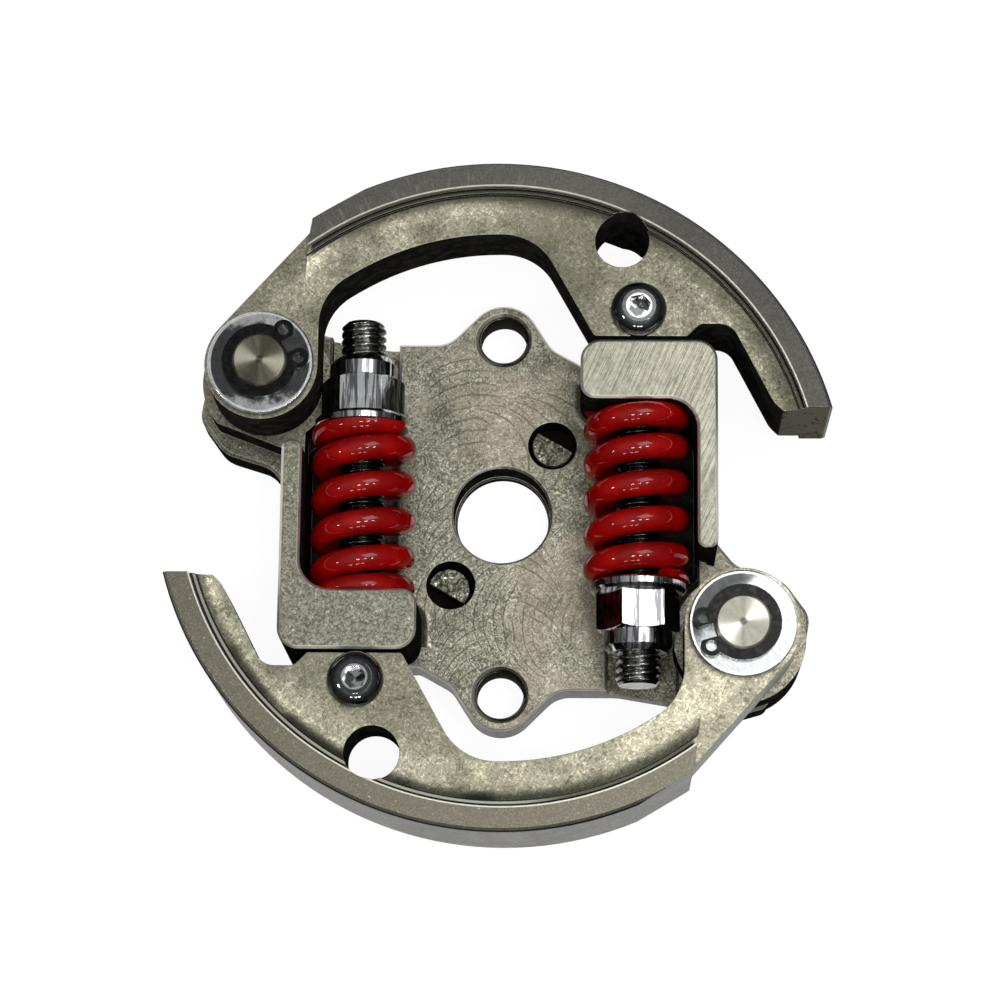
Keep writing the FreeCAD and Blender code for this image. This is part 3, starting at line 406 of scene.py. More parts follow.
def shoe_web(recipe, upper, radius):
    """Colour, height and scratches of the web, whose middle has a painted sheen in a band, where its
    scratches show more.
    """
    colour, level = mottle(recipe, (0.105, 0.100, 0.072), (0.205, 0.196, 0.148), (0.42, 0.40, 0.31), 3.0)
    scratch = recipe.most(recipe.lines(52, 0.12, 2.4), recipe.lines(118, 0.12, 2.0, 7.0))
    scratch = recipe.most(scratch, recipe.lines(12, 0.11, 1.6, 21.0))
    scratched = recipe.ease(scratch, 0.64, 0.78)
    # Painted sheen in a band near the rim, broken into patches; the real scratches and scores show more in
    # it
    sheen_patches = recipe.ease(recipe.plus(recipe.noise(0.16, 2.0), 0.12), 0.42, 0.62)
    sheen_band = recipe.times(recipe.ease(radius, 29.0, 31.2), recipe.ease(radius, 34.2, 33.2), sheen_patches)
    sheen_band = recipe.times(sheen_band, recipe.rest(recipe.times(upper, recipe.ease(recipe.x, 2, 12))))
    middle = recipe.times(recipe.ease(recipe.x, -3, 2), recipe.ease(recipe.x, 13, 8), upper)
    colour = recipe.mix(recipe.times(middle, 0.55), colour, (0.085, 0.080, 0.058))
    # One end of the lower web is pale all over
    pale = recipe.times(recipe.rest(upper), recipe.ease(recipe.x, 5, 14))
    gain = recipe.plus(1.0, recipe.plus(recipe.times(pale, 0.50), recipe.times(sheen_band, 0.60)))
    gains = recipe.add("ShaderNodeCombineXYZ", {0: gain, 1: gain, 2: recipe.times(gain, 0.97)}).outputs[0]
    colour = recipe.mix(1.0, colour, gains, "MULTIPLY")
    marks = recipe.times(scratched, recipe.plus(0.25, recipe.times(sheen_band, 0.7)))
    colour = recipe.mix(marks, colour, (0.80, 0.77, 0.62))
    scored = recipe.most(recipe.lines(66, 0.14, 1.8, 33.0), recipe.lines(140, 0.13, 1.5, 47.0))
    scored = recipe.times(recipe.ease(scored, 0.61, 0.70), recipe.times(sheen_band, 0.75))
    return recipe.mix(scored, colour, (0.045, 0.042, 0.030)), level, scratched


def shoe_rim(recipe, upper, radius):
    """Colour of the rim's top: fine grain, and on the upper shoe faint marks across it."""
    grain = recipe.noise(4.5, 3.0, 0.6, 0.6)
    colour = recipe.mix(recipe.ease(grain, 0.38, 0.66), (0.086, 0.084, 0.074), (0.120, 0.117, 0.103))
    specks = recipe.times(recipe.ease(grain, 0.64, 0.74), recipe.rest(recipe.times(upper, 0.8)))
    colour = recipe.mix(specks, colour, (0.26, 0.25, 0.21))
    around = {0: recipe.turn_about(*arc_centre(1)), 1: recipe.times(radius, 0.35)}
    around = recipe.add("ShaderNodeCombineXYZ", around).outputs[0]
    across = recipe.ease(recipe.noise(1.0, 3.0, 0.6, 0.0, around), 0.54, 0.70)
    across = recipe.times(across, recipe.times(upper, recipe.ease(recipe.x, 12, -6)))
    colour = recipe.mix(recipe.times(across, 0.6), colour, (0.20, 0.197, 0.18))
    side = recipe.times(upper, recipe.ease(recipe.x, 8, 20))
    colour = recipe.mix(recipe.times(side, 0.45), colour, (0.040, 0.040, 0.038))
    warm = recipe.mix(upper, (1.62, 1.54, 1.36), (1.0, 1.0, 1.0))
    return recipe.mix(1.0, colour, warm, "MULTIPLY")


def shoe_step(recipe, colour, upper, radius):
    """Colour of the shoe with the step between web and rim, with painted light and shade on its ledge,
    groove and cove, and the share of the painted shade in the groove and at the foot.
    """
    below = recipe.ease(recipe.z, RIM_TOP - 0.2, RIM_TOP - 0.4)
    # Painted shade in the groove under the rim's inner edge
    groove = recipe.times(recipe.ease(radius, RIM_INNER - 0.36, RIM_INNER - 0.26), below)
    groove = recipe.times(groove, recipe.ease(radius, RIM_INNER + 0.1, RIM_INNER))
    ledge = recipe.times(recipe.ease(radius, LEDGE_INNER - 0.02, LEDGE_INNER + 0.02), below)
    # The ledge is painted lit on the lower shoe's left part and painted shaded elsewhere
    ledge_colour = recipe.mix(recipe.ease(recipe.x, 2, 8), (0.30, 0.29, 0.25), (0.085, 0.082, 0.062))
    ledge_colour = recipe.mix(upper, ledge_colour, (0.055, 0.052, 0.038))
    # The bands end where the rim does, on the pivot's side of each shoe
    pivot_side = recipe.ease(recipe.times(recipe.x, recipe.y), 0.0, -5.0)
    past_rim = recipe.ease(recipe.size(recipe.x), RIM_END - 0.6, RIM_END - 0.1)
    keep = recipe.rest(recipe.times(pivot_side, past_rim))
    colour = recipe.mix(recipe.times(ledge, keep), colour, ledge_colour)
    # Painted shade at the foot of the ledge, and a painted shaded band in the cove inside it
    inside = recipe.ease(radius, LEDGE_INNER + 0.03, LEDGE_INNER - 0.01)
    foot = recipe.times(recipe.ease(radius, LEDGE_INNER - 0.30, LEDGE_INNER - 0.12), inside)
    cove_shade = recipe.times(recipe.ease(radius, LEDGE_INNER - 1.9, LEDGE_INNER - 0.4), inside)
    cove_shaded_upper = recipe.times(recipe.ease(recipe.x, 23, 15), recipe.ease(recipe.x, -20.5, -16))
    cove_shaded_lower = recipe.times(recipe.ease(recipe.noise(0.12, 2.0), 0.44, 0.56), recipe.ease(recipe.x, 9, 3))
    cove_shaded = recipe.times(recipe.pick(upper, cove_shaded_lower, cove_shaded_upper), 0.85)
    colour = recipe.mix(recipe.times(cove_shade, cove_shaded), colour, (0.045, 0.042, 0.031))
    dirt_and_shade = recipe.times(recipe.most(groove, foot), keep)
    return recipe.mix(recipe.times(dirt_and_shade, 0.95), colour, SHADE_BLACK), dirt_and_shade


def shoe_walls(recipe, radius):
    """Colour of the walls, and the share of the outer walls, which are lighter than the inner ones."""
    outer = recipe.ease(radius, DRUM_RADIUS - 0.30, DRUM_RADIUS - 0.15)
    cut_end = recipe.times(recipe.ease(recipe.times(recipe.x, recipe.y), -20, -60),
                           recipe.ease(radius, RIM_INNER - 0.5, RIM_INNER))
    outer = recipe.most(outer, cut_end)
    tail = recipe.ease(recipe.size(recipe.x), 27.0, 28.5)
    tail = recipe.times(tail, recipe.ease(recipe.size(recipe.facing_y), 0.90, 0.97))
    tail = recipe.times(tail, recipe.ease(radius, 30.0, 31.0))
    patch = recipe.ease(recipe.noise(0.8, 3.0), 0.4, 0.65)
    walls = recipe.mix(patch, (0.015, 0.0145, 0.012), (0.031, 0.030, 0.025))
    scars = recipe.ease(recipe.noise(0.7, 4.0, 0.7, 1.5), 0.56, 0.64)
    walls = recipe.mix(tail, walls, recipe.mix(scars, (0.17, 0.163, 0.125), (0.05, 0.047, 0.035)))
    return recipe.mix(outer, walls, (0.115, 0.111, 0.096)), outer


def shoe_steel():
    recipe = Recipe("shoe_steel")
    upper = recipe.ease(recipe.y, -2, 2)
    radius = recipe.pick(upper, recipe.from_point(*arc_centre(-1)), recipe.from_point(*arc_centre(1)))
    on_rim = recipe.ease(recipe.z, RIM_TOP - 0.55, RIM_TOP - 0.35)
    wall = recipe.ease(recipe.up, 0.50, 0.25)
    colour, level, scratched = shoe_web(recipe, upper, radius)
    colour = recipe.mix(on_rim, colour, shoe_rim(recipe, upper, radius))
    colour, dirt_and_shade = shoe_step(recipe, colour, upper, radius)
    walls, outer = shoe_walls(recipe, radius)
    colour = recipe.mix(wall, colour, walls)
    matt_share = recipe.times(wall, recipe.rest(recipe.times(outer, 0.4)))
    recipe.film(recipe.most(matt_share, dirt_and_shade))
    soft, near = recipe.edges(0.14)
    # Painted highlights on the edges and along the rim's inner edge, and a painted shadow line along its
    # outer edge
    near = recipe.times(near, recipe.ease(recipe.up, 0.25, 0.6), 0.6)
    bright = recipe.times(on_rim, recipe.ease(radius, RIM_INNER + 0.20, RIM_INNER + 0.12))
    bright = recipe.times(bright, recipe.minus(0.85, recipe.times(upper, 0.25)))
    colour = recipe.mix(recipe.most(near, bright), colour, (0.75, 0.73, 0.62))
    outline = recipe.times(recipe.ease(radius, DRUM_RADIUS - 0.24, DRUM_RADIUS - 0.12), on_rim)
    colour = recipe.mix(outline, colour, SHADOW_BLACK)
    rough = recipe.ease(level, 0.3, 0.7, 0.48, 0.34)
    height = recipe.plus(level, recipe.times(scratched, 0.5))
    return recipe.finish(colour, rough, height, 0.012, soft)


def arc_centre(sign):
    """Plan centre of a shoe's arc; shoes at rest sit swung in about their pivots."""
    x, y = -PIVOT[0], -PIVOT[1]
    turned_x = x * math.cos(-RETRACT) - y * math.sin(-RETRACT)
    turned_y = x * math.sin(-RETRACT) + y * math.cos(-RETRACT)
    return sign * (PIVOT[0] + turned_x), sign * (PIVOT[1] + turned_y)


def pin_steel():
    recipe = Recipe("pin_steel")
    upper = recipe.ease(recipe.x, 1, -1)
    radius = recipe.pick(upper, recipe.from_point(-PIVOT[0], -PIVOT[1]), recipe.from_point(*PIVOT))
    rings = recipe.calc("MULTIPLY_ADD", recipe.calc("SINE", recipe.times(radius, 42.0)), 0.5)
    grain = recipe.noise(2.2, 3.0, 0.6)
    colour = recipe.mix(recipe.ease(grain, 0.35, 0.65), (0.30, 0.285, 0.22), (0.46, 0.44, 0.35))
    # Painted highlight: turned faces shine in two opposite fans, which lie another way round on each pin
    angle = recipe.pick(upper, recipe.turn_about(-PIVOT[0], -PIVOT[1], FULL_TURN),
                        recipe.turn_about(*PIVOT, FULL_TURN))
    start = recipe.pick(upper, *FAN_STARTS)
    fan = recipe.size(recipe.calc("COSINE", recipe.minus(angle, start)))
    dull = recipe.mix(upper, (0.23, 0.222, 0.19), (0.105, 0.100, 0.072))
    shine = recipe.mix(upper, (0.66, 0.65, 0.59), (0.42, 0.405, 0.32))
    colour = recipe.mix(0.5, colour, recipe.mix(recipe.ease(fan, 0.55, 0.99), dull, shine))
    colour = recipe.mix(0.65, colour, recipe.mix(recipe.ease(fan, 0.80, 1.0), dull, shine))
    colour = recipe.mix(recipe.times(upper, 0.35), colour, (0.03, 0.028, 0.02))
    mark = recipe.ease(radius, 0.55, 0.25)
    colour = recipe.mix(recipe.times(mark, 0.8), colour, (0.05, 0.045, 0.035))
    colour = recipe.mix(recipe.ease(recipe.up, 0.6, 0.3), colour, (0.06, 0.057, 0.045))
    tangent = recipe.add("ShaderNodeTangent", direction_type="RADIAL", axis="Z").outputs[0]
    soft, _ = recipe.edges(0.12)
    return recipe.finish(colour, 0.30, rings, 0.003, soft, Metallic=1.0, Anisotropic=0.92,
                         Anisotropic_Rotation=0.25, Tangent=tangent)


def drive_pin_steel():
    recipe = Recipe("drive_pin_steel")
    grain = recipe.noise(2.6, 4.0, 0.7, 0.8)
    colour = recipe.mix(recipe.ease(grain, 0.38, 0.62), (0.040, 0.039, 0.028), (0.17, 0.166, 0.128))
    # Painted glints on the torn metal
    spark = recipe.times(recipe.ease(grain, 0.60, 0.68), recipe.ease(recipe.noise(0.45, 1.0), 0.45, 0.55))
    colour = recipe.mix(spark, colour, (0.85, 0.84, 0.72))
    # Painted shade on the part down in the hole
    low = recipe.ease(recipe.z, 3.8, 3.2)
    colour = recipe.mix(low, colour, SHADE_BLACK)
    recipe.film(recipe.most(low, recipe.ease(recipe.up, 0.6, 0.3)))
    return recipe.finish(colour, recipe.ease(grain, 0.3, 0.7, 0.5, 0.25), grain, 0.05)


def washer_dark_reflection(recipe):
    """Share of the painted dark reflection on the washers: one is dark but for two ends, the other at one
    side.
    """
    ragged = recipe.times(recipe.minus(recipe.noise(0.7, 4.0, 0.65), 0.5), 5.0)
    rise = recipe.plus(recipe.size(recipe.minus(recipe.y, PIVOT[1])), ragged)
    left = recipe.ease(rise, 5.0, 3.4)
    run = recipe.minus(recipe.plus(recipe.y, -PIVOT[0] * 1.2), recipe.times(recipe.x, 1.2))
    run = recipe.plus(recipe.minus(run, -PIVOT[1]), ragged)
    right = recipe.ease(run, 1.5, 5.5)
    return recipe.pick(recipe.ease(recipe.x, 1, -1), right, left)


def nut_dark_reflections(recipe, colour):
    """Painted reflections of dark things: streaks along the nuts."""
    streak = recipe.ease(recipe.lines(90, 0.42, 6.0), 0.47, 0.58)
    return recipe.mix(recipe.times(streak, 0.85), colour, (0.05, 0.05, 0.055))


def washer_marks(recipe, colour):
    """Painted dark reflection, painted highlight on the outer ring and painted shade on the wall of the
    washers.
    """
    colour = recipe.mix(recipe.times(washer_dark_reflection(recipe), 0.93), colour, (0.030, 0.031, 0.032))
    pivot = recipe.least(recipe.from_point(*PIVOT), recipe.from_point(-PIVOT[0], -PIVOT[1]))
    ring = recipe.times(recipe.ease(pivot, 5.40, 5.52), recipe.ease(recipe.up, 0.3, 0.5))
    colour = recipe.mix(recipe.times(ring, 0.85), colour, (0.70, 0.72, 0.72))
    return recipe.mix(recipe.ease(recipe.up, 0.5, 0.3), colour, (0.05, 0.05, 0.048))


def bright_plate(name, tint, rough_low, rough_high, wear, own_marks):
    """Bright zinc plate with faint stains and rubbed spots, and painted highlights along its edges."""
    recipe = Recipe(name)
    stain = recipe.ease(recipe.noise(0.55, 4.0, 0.65), 0.50, 0.70)
    speck = recipe.ease(recipe.noise(3.2, 3.0, 0.7), 0.58, 0.72)
    colour = recipe.mix(recipe.times(stain, 0.3), tint, [c * 0.5 for c in tint])
    colour = recipe.mix(recipe.times(speck, wear), colour, [c * 0.3 for c in tint])
    colour = own_marks(recipe, colour)
    soft, near = recipe.edges(0.12)
    # Painted highlight along the edges
    colour = recipe.mix(recipe.times(near, 0.5), colour, (0.80, 0.81, 0.80))
    rough = recipe.ease(recipe.noise(0.9, 3.0), 0.35, 0.7, rough_low, rough_high)
    return recipe.finish(colour, rough, recipe.noise(1.6, 3.0, 0.6), 0.010, soft, Metallic=1.0)


def stud_painted_shade(recipe, colour):
    """Painted shade on the studs, apart from their free ends."""
    free_end = recipe.ease(recipe.times(recipe.x, recipe.y), -185, -215)
    return recipe.mix(recipe.minus(0.8, recipe.times(free_end, 0.8)), colour, (0.012, 0.012, 0.011))


def socket_marks(recipe, colour):
    """Flat tops of the screws darkened as a painted dark reflection, with a painted highlight round the
    socket and its floor painted half-lit.
    """
    middle = recipe.least(recipe.from_point(*EYE[:2]), recipe.from_point(-EYE[0], -EYE[1]))
    flat = recipe.ease(recipe.up, 0.95, 0.99)
    colour = recipe.mix(recipe.times(flat, 0.75), colour, (0.035, 0.036, 0.038))
    rim = recipe.times(recipe.ease(middle, SOCKET_RADIUS + 0.28, SOCKET_RADIUS + 0.14), 0.65)
    colour = recipe.mix(rim, colour, (0.80, 0.81, 0.82))
    angle = recipe.pick(recipe.ease(recipe.y, -2, 2), recipe.turn_about(-EYE[0], -EYE[1], FULL_TURN),
                        recipe.turn_about(*EYE[:2], FULL_TURN))
    half = recipe.calc("SINE", recipe.plus(angle, 0.6))
    floor = recipe.mix(recipe.ease(half, -0.5, 0.7), (0.10, 0.10, 0.10), (0.016, 0.016, 0.016))
    blot = recipe.ease(recipe.noise(1.1, 2.0, 0.5, 0.6), 0.50, 0.60)
    floor = recipe.mix(recipe.times(blot, 0.7), floor, (0.45, 0.46, 0.47))
    return recipe.mix(recipe.ease(middle, SOCKET_RADIUS, SOCKET_RADIUS - 0.12), colour, floor)


def dark_steel(name, low, high, rough, depth=0.006, own_marks=None):
    """Black or dark steel with dust in its grain, and edges lightened partly as rubbed wear and partly as
    painted highlights.
    """
    recipe = Recipe(name)
    colour = recipe.mix(recipe.ease(recipe.noise(1.7, 4.0, 0.65), 0.42, 0.70), low, high)
    if own_marks:
        colour = own_marks(recipe, colour)
    soft, near = recipe.edges(0.05)
    colour = recipe.mix(recipe.times(near, 0.6), colour, [c * 3 + 0.05 for c in high])
    shine = recipe.ease(recipe.noise(0.8, 2.0), 0.3, 0.7, rough * 0.75, rough * 1.25)
    return recipe.finish(colour, shine, recipe.noise(3.0, 3.0, 0.6), depth, soft, Metallic=1.0)


def nylon():
    recipe = Recipe("nylon")
    patch = recipe.ease(recipe.noise(1.2, 3.0), 0.4, 0.7)
    colour = recipe.mix(patch, (0.34, 0.34, 0.32), (0.55, 0.55, 0.52))
    return recipe.finish(colour, 0.45, recipe.noise(2.0), 0.01)


def spring_red():
    recipe = Recipe("spring_red")
    patch = recipe.ease(recipe.noise(0.35, 3.0, 0.55), 0.38, 0.68)
    colour = recipe.mix(patch, (0.215, 0.0013, 0.0010), (0.325, 0.0021, 0.0015))
    dirt_and_shade = recipe.ease(recipe.noise(1.5, 4.0, 0.7), 0.66, 0.80)
    colour = recipe.mix(recipe.times(dirt_and_shade, 0.6), colour, (0.09, 0.004, 0.004))
    rough = recipe.ease(recipe.noise(1.1, 3.0), 0.35, 0.7, 0.34, 0.46)
    return recipe.finish(colour, rough, recipe.noise(0.9, 2.0), 0.006, Specular_IOR_Level=0.0,
                         Coat_Weight=0.85, Coat_Roughness=0.04, Coat_IOR=1.42)


MATERIALS = {
    "hub_steel": hub_steel(),
    "shoe_steel": shoe_steel(),
    "pin_steel": pin_steel(),
    "drive_pin_steel": drive_pin_steel(),
    "zinc_plate": bright_plate("zinc_plate", (0.42, 0.432, 0.435), 0.18, 0.30, 0.4, washer_marks),
    "nut_plate": bright_plate("nut_plate", (0.56, 0.57, 0.575), 0.07, 0.16, 0.2, nut_dark_reflections),
    "circlip_steel": dark_steel("circlip_steel", (0.012, 0.012, 0.012), (0.026, 0.025, 0.024), 0.20, 0.002),
    "stud_steel": dark_steel("stud_steel", (0.10, 0.10, 0.095), (0.34, 0.34, 0.32), 0.20,
                             own_marks=stud_painted_shade),
    "screw_steel": dark_steel("screw_steel", (0.16, 0.165, 0.17), (0.26, 0.27, 0.27), 0.08, 0.0003,
                              socket_marks),
    "nylon": nylon(),
    "spring_red": spring_red(),
}


def smooth(piece, angle=40):
    """Shade a piece smoothly apart from its real edges."""
    for face in piece.data.polygons:
        face.use_smooth = True
    piece.data.set_sharp_from_angle(angle=math.radians(angle))


def dress(piece, slot):
    """Give every face of a piece the material of a slot."""
    piece.data.materials.clear()
    piece.data.materials.append(MATERIALS[slot])


def new_piece(name, mesh, body, slot, replaced=None):
    """Object for a new mesh that rides on a body and may stand for a CAD node."""
    piece = bpy.data.objects.new(name, mesh)
    bpy.context.scene.collection.objects.link(piece)
    dress(piece, slot)
    smooth(piece)
    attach(piece, body)
    if replaced:
        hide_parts(replaced)
    return piece


# Threads


def ridge_height(step):
    """Height of a thread's ridge, 0 to 1, at a step of its pitch."""
    return 0.5 - 0.5 * math.cos(FULL_TURN * (step % THREAD_STEPS) / THREAD_STEPS)


def thread_rows(length):
    """Points of a stud's thread along Z, as a strip that winds up the axis."""
    turns = length / THREAD_PITCH
    rows = []
    for step in range(int((turns + 1) * THREAD_STEPS) + 1):
        ridge = min(1.0, 1.25 * ridge_height(step))
        row = []
        for side in range(STUD_SIDES):
            z = (step / THREAD_STEPS + side / STUD_SIDES - 1) * THREAD_PITCH
            z = min(max(z, 0.0), length)
            ends = min(z, length - z) / THREAD_TAPER
            limit = STUD_RADIUS - max(0.0, THREAD_CHAMFER - ends * THREAD_CHAMFER)
            reach = min(STUD_RADIUS - STUD_THREAD_DEPTH * (1 - ridge) * min(1.0, ends), limit)
            angle = FULL_TURN * side / STUD_SIDES
            row.append(Vector((reach * math.cos(angle), reach * math.sin(angle), z)))
        rows.append(row)
    return rows


def wound(bm, rows):
    """Faces between rows of a winding strip, whose last side joins the row one pitch on."""
    grid = [[bm.verts.new(point) for point in row] for row in rows]
    sides = len(grid[0])
    for index in range(len(grid) - 1):
        row, following = grid[index], grid[index + 1]
        for side in range(sides - 1):
            bm.faces.new((row[side], row[side + 1], following[side + 1], following[side]))
        joined = index + THREAD_STEPS
        if joined + 1 < len(grid):
            bm.faces.new((grid[joined][0], grid[joined + 1][0], following[-1], row[-1]))


def along_stud(side):
    """Matrix from a frame whose Z runs along a stud, away from its eye."""
    lean = math.radians(STUD_LEAN[side])
    sign = SIDES[side]
    along = Vector((sign * math.sin(lean), -sign * math.cos(lean), 0))
    up = Vector((0, 0, 1))
    across = up.cross(along)
    spot = Vector((sign * EYE[0], sign * EYE[1], EYE[2]))
    return Matrix.Translation(spot) @ Matrix((across, up, along)).transposed().to_4x4()


def make_stud(side):
    """Stud with a real thread on its shank; its eye keeps the solid's shape."""
    node = bpy.data.objects["tension_stud_" + side]
    place = along_stud(side)
    bm = bmesh.new()
    end = STUD_END - STUD_START
    wound(bm, thread_rows(end))
    angles = [FULL_TURN * k / STUD_SIDES for k in range(STUD_SIDES)]
    corners = [(STUD_END_RADIUS * math.cos(angle), STUD_END_RADIUS * math.sin(angle)) for angle in angles]
    for z in (0.0, end):
        ring = [bm.verts.new((x, y, z)) for x, y in corners]
        bm.faces.new(ring if z else ring[::-1])
    bmesh.ops.translate(bm, verts=bm.verts, vec=(0, 0, STUD_START))
    bmesh.ops.transform(bm, matrix=Matrix.Scale(MM, 4) @ place, verts=bm.verts)
    eye = bmesh.new()
    eye.from_mesh(node.data)
    along = (place.to_3x3() @ Vector((0, 0, 1))).normalized()
    cut = (place @ Vector((0, 0, STUD_START + 0.1))) * MM
    whole = eye.verts[:] + eye.edges[:] + eye.faces[:]
    bmesh.ops.bisect_plane(eye, geom=whole, plane_co=cut, plane_no=along, clear_outer=True)
    spare = bpy.data.meshes.new("eye_" + side)
    eye.to_mesh(spare)
    bm.from_mesh(spare)
    bmesh.ops.remove_doubles(bm, verts=bm.verts, dist=1e-7)
    mesh = bpy.data.meshes.new("threaded_stud_" + side)
    bm.to_mesh(mesh)
    new_piece("threaded_stud_" + side, mesh, "stud_%s_body" % side, "stud_steel",
              "tension_stud_" + side)


def make_lobe_thread(side):
    """Ridges of the thread inside a tapped hole."""
    sign = SIDES[side]
    bm = bmesh.new()
    lowest, highest = LOBE_THREAD_ENDS
    rows = []
    for step in range(int(LOBE_THREAD_LENGTH / THREAD_PITCH * THREAD_STEPS) + 1):
        reach = LOBE_HOLE_RADIUS + 0.02 - LOBE_THREAD_DEPTH * ridge_height(step)
        row = []
        for k in range(LOBE_SIDES):
            z = (step / THREAD_STEPS + k / LOBE_SIDES) * THREAD_PITCH + LOBE_THREAD_START
            angle = FULL_TURN * k / LOBE_SIDES
            y = sign * LOBE_HOLE[1] + reach * math.sin(angle)
            row.append(Vector((reach * math.cos(angle), y, min(max(z, lowest), highest))) * MM)
        rows.append(row)
    wound(bm, rows)
    bmesh.ops.recalc_face_normals(bm, faces=bm.faces)
    bmesh.ops.reverse_faces(bm, faces=bm.faces)
    mesh = bpy.data.meshes.new("lobe_thread_" + side)
    bm.to_mesh(mesh)
    new_piece("lobe_thread_" + side, mesh, "hub_body", "hub_steel")


# Springs


def coil_rise(turns, side):
    """Distance of the wire's centre from the block's face after a number of turns."""
    length, total = SPRING_LENGTH[side], SPRING_TURNS[side]
    if turns <= 1:
        return SPRING_START + SPRING_CLOSED_RISE * turns
    if turns >= total - 1:
        return length - SPRING_START - SPRING_CLOSED_RISE * (total - turns)
    share = (turns - 1) / (total - 2)
    return SPRING_START + SPRING_CLOSED_RISE + share * (length - 2 * (SPRING_START + SPRING_CLOSED_RISE))


def coil_point(turns, side):
    """Centre of a spring's wire after a number of turns."""
    angle = math.pi / 2 + FULL_TURN * (turns - SPRING_FRONT[side])
    x, z = SPRING_RADIUS * math.cos(angle), SPRING_RADIUS * math.sin(angle)
    return Vector((x, -coil_rise(turns, side), z))


def make_spring(side):
    """Coil with closed and ground ends."""
    sign, length, total = SIDES[side], SPRING_LENGTH[side], SPRING_TURNS[side]
    steps = int(total * STEPS_PER_TURN)
    bm = bmesh.new()
    rings = []
    for step in range(steps + 1):
        turns = total * step / steps
        centre = coil_point(turns, side)
        ahead = (coil_point(turns + 0.004, side) - coil_point(turns - 0.004, side)).normalized()
        outwards = Vector((centre.x, 0, centre.z)).normalized()
        outwards = (outwards - ahead * outwards.dot(ahead)).normalized()
        across = ahead.cross(outwards)
        ring = []
        for k in range(WIRE_SIDES):
            angle = FULL_TURN * k / WIRE_SIDES
            spot = centre + (outwards * math.cos(angle) + across * math.sin(angle)) * WIRE_RADIUS
            spot.y = -min(max(-spot.y, 0.0), length)
            ring.append(bm.verts.new(spot))
        rings.append(ring)
    for near, far in zip(rings, rings[1:]):
        for k in range(WIRE_SIDES):
            after = (k + 1) % WIRE_SIDES
            bm.faces.new((near[k], near[after], far[after], far[k]))
    bm.faces.new(rings[0][::-1])
    bm.faces.new(rings[-1])
    bmesh.ops.recalc_face_normals(bm, faces=bm.faces)
    place = Matrix.Translation((SPRING_X[side], BLOCK_FACE_Y, EYE[2]))
    place = Matrix.Rotation(0.0 if sign > 0 else math.pi, 4, "Z") @ place
    bmesh.ops.transform(bm, matrix=Matrix.Scale(MM, 4) @ place, verts=bm.verts)
    mesh = bpy.data.meshes.new("coil_" + side)
    bm.to_mesh(mesh)
    piece = new_piece("coil_" + side, mesh, "hub_body", "spring_red", "spring_" + side)
    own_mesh(piece)


# Broken drive pins


def torn_top(bm, sign):
    """Rough top of a stub: the cells of a grid that lie in the circle and on one side of the flat."""
    count = int(2 * STUB_RADIUS / STUB_CELL)
    verts = {}
    for i in range(count + 1):
        for j in range(count + 1):
            x, y = -STUB_RADIUS + i * STUB_CELL, -STUB_RADIUS + j * STUB_CELL
            reach = math.hypot(x, y)
            if reach > STUB_RADIUS + STUB_CELL:
                continue
            if reach > STUB_RADIUS:
                x, y = x * STUB_RADIUS / reach, y * STUB_RADIUS / reach
            if x > STUB_FLAT + STUB_CELL:
                continue
            x = min(x, STUB_FLAT)
            spot = Vector((x, y, 0)) * 1.9 + Vector((sign * 5, 3, 1))
            shape = noise.hetero_terrain(spot, 0.7, 2.2, 5, 0.6)
            verts[i, j] = bm.verts.new((x, y, STUB_TOP - 0.12 + 0.05 * max(-1.4, min(shape, 1.4))))
    for i, j in list(verts):
        corners = [(i, j), (i + 1, j), (i + 1, j + 1), (i, j + 1)]
        if all(corner in verts for corner in corners):
            bm.faces.new([verts[corner] for corner in corners])
    bmesh.ops.remove_doubles(bm, verts=bm.verts, dist=0.004)


def make_stub(side):
    """Pin broken off in its hole: a smooth foot and a half-round stub with a torn top."""
    sign = SIDES[side]
    facing = STUB_ANGLE if sign > 0 else STUB_ANGLE + math.pi
    centre = Vector((sign * DRIVE_HOLE[0], sign * DRIVE_HOLE[1], 0))
    bm = bmesh.new()
    torn_top(bm, sign)
    rim = [edge for edge in bm.edges if edge.is_boundary]
    pulled = bmesh.ops.extrude_edge_only(bm, edges=rim)["geom"]
    for vert in pulled:
        if isinstance(vert, bmesh.types.BMVert):
            vert.co.z = FOOT_HEIGHT - 0.1
    bmesh.ops.translate(bm, verts=bm.verts, vec=(STUB_OFFSET[side], 0, 0))
    bmesh.ops.create_cone(bm, cap_ends=True, segments=64, radius1=FOOT_RADIUS, radius2=FOOT_RADIUS,
                          depth=FOOT_HEIGHT, matrix=Matrix.Translation((0, 0, FOOT_HEIGHT / 2)))
    bmesh.ops.recalc_face_normals(bm, faces=bm.faces)
    place = Matrix.Scale(MM, 4) @ Matrix.Translation(centre) @ Matrix.Rotation(facing, 4, "Z")
    bmesh.ops.transform(bm, matrix=place, verts=bm.verts)
    mesh = bpy.data.meshes.new("broken_pin_" + side)
    bm.to_mesh(mesh)
    new_piece("broken_pin_" + side, mesh, "hub_body", "drive_pin_steel", "drive_pin_" + side)


# Camera, light and floor


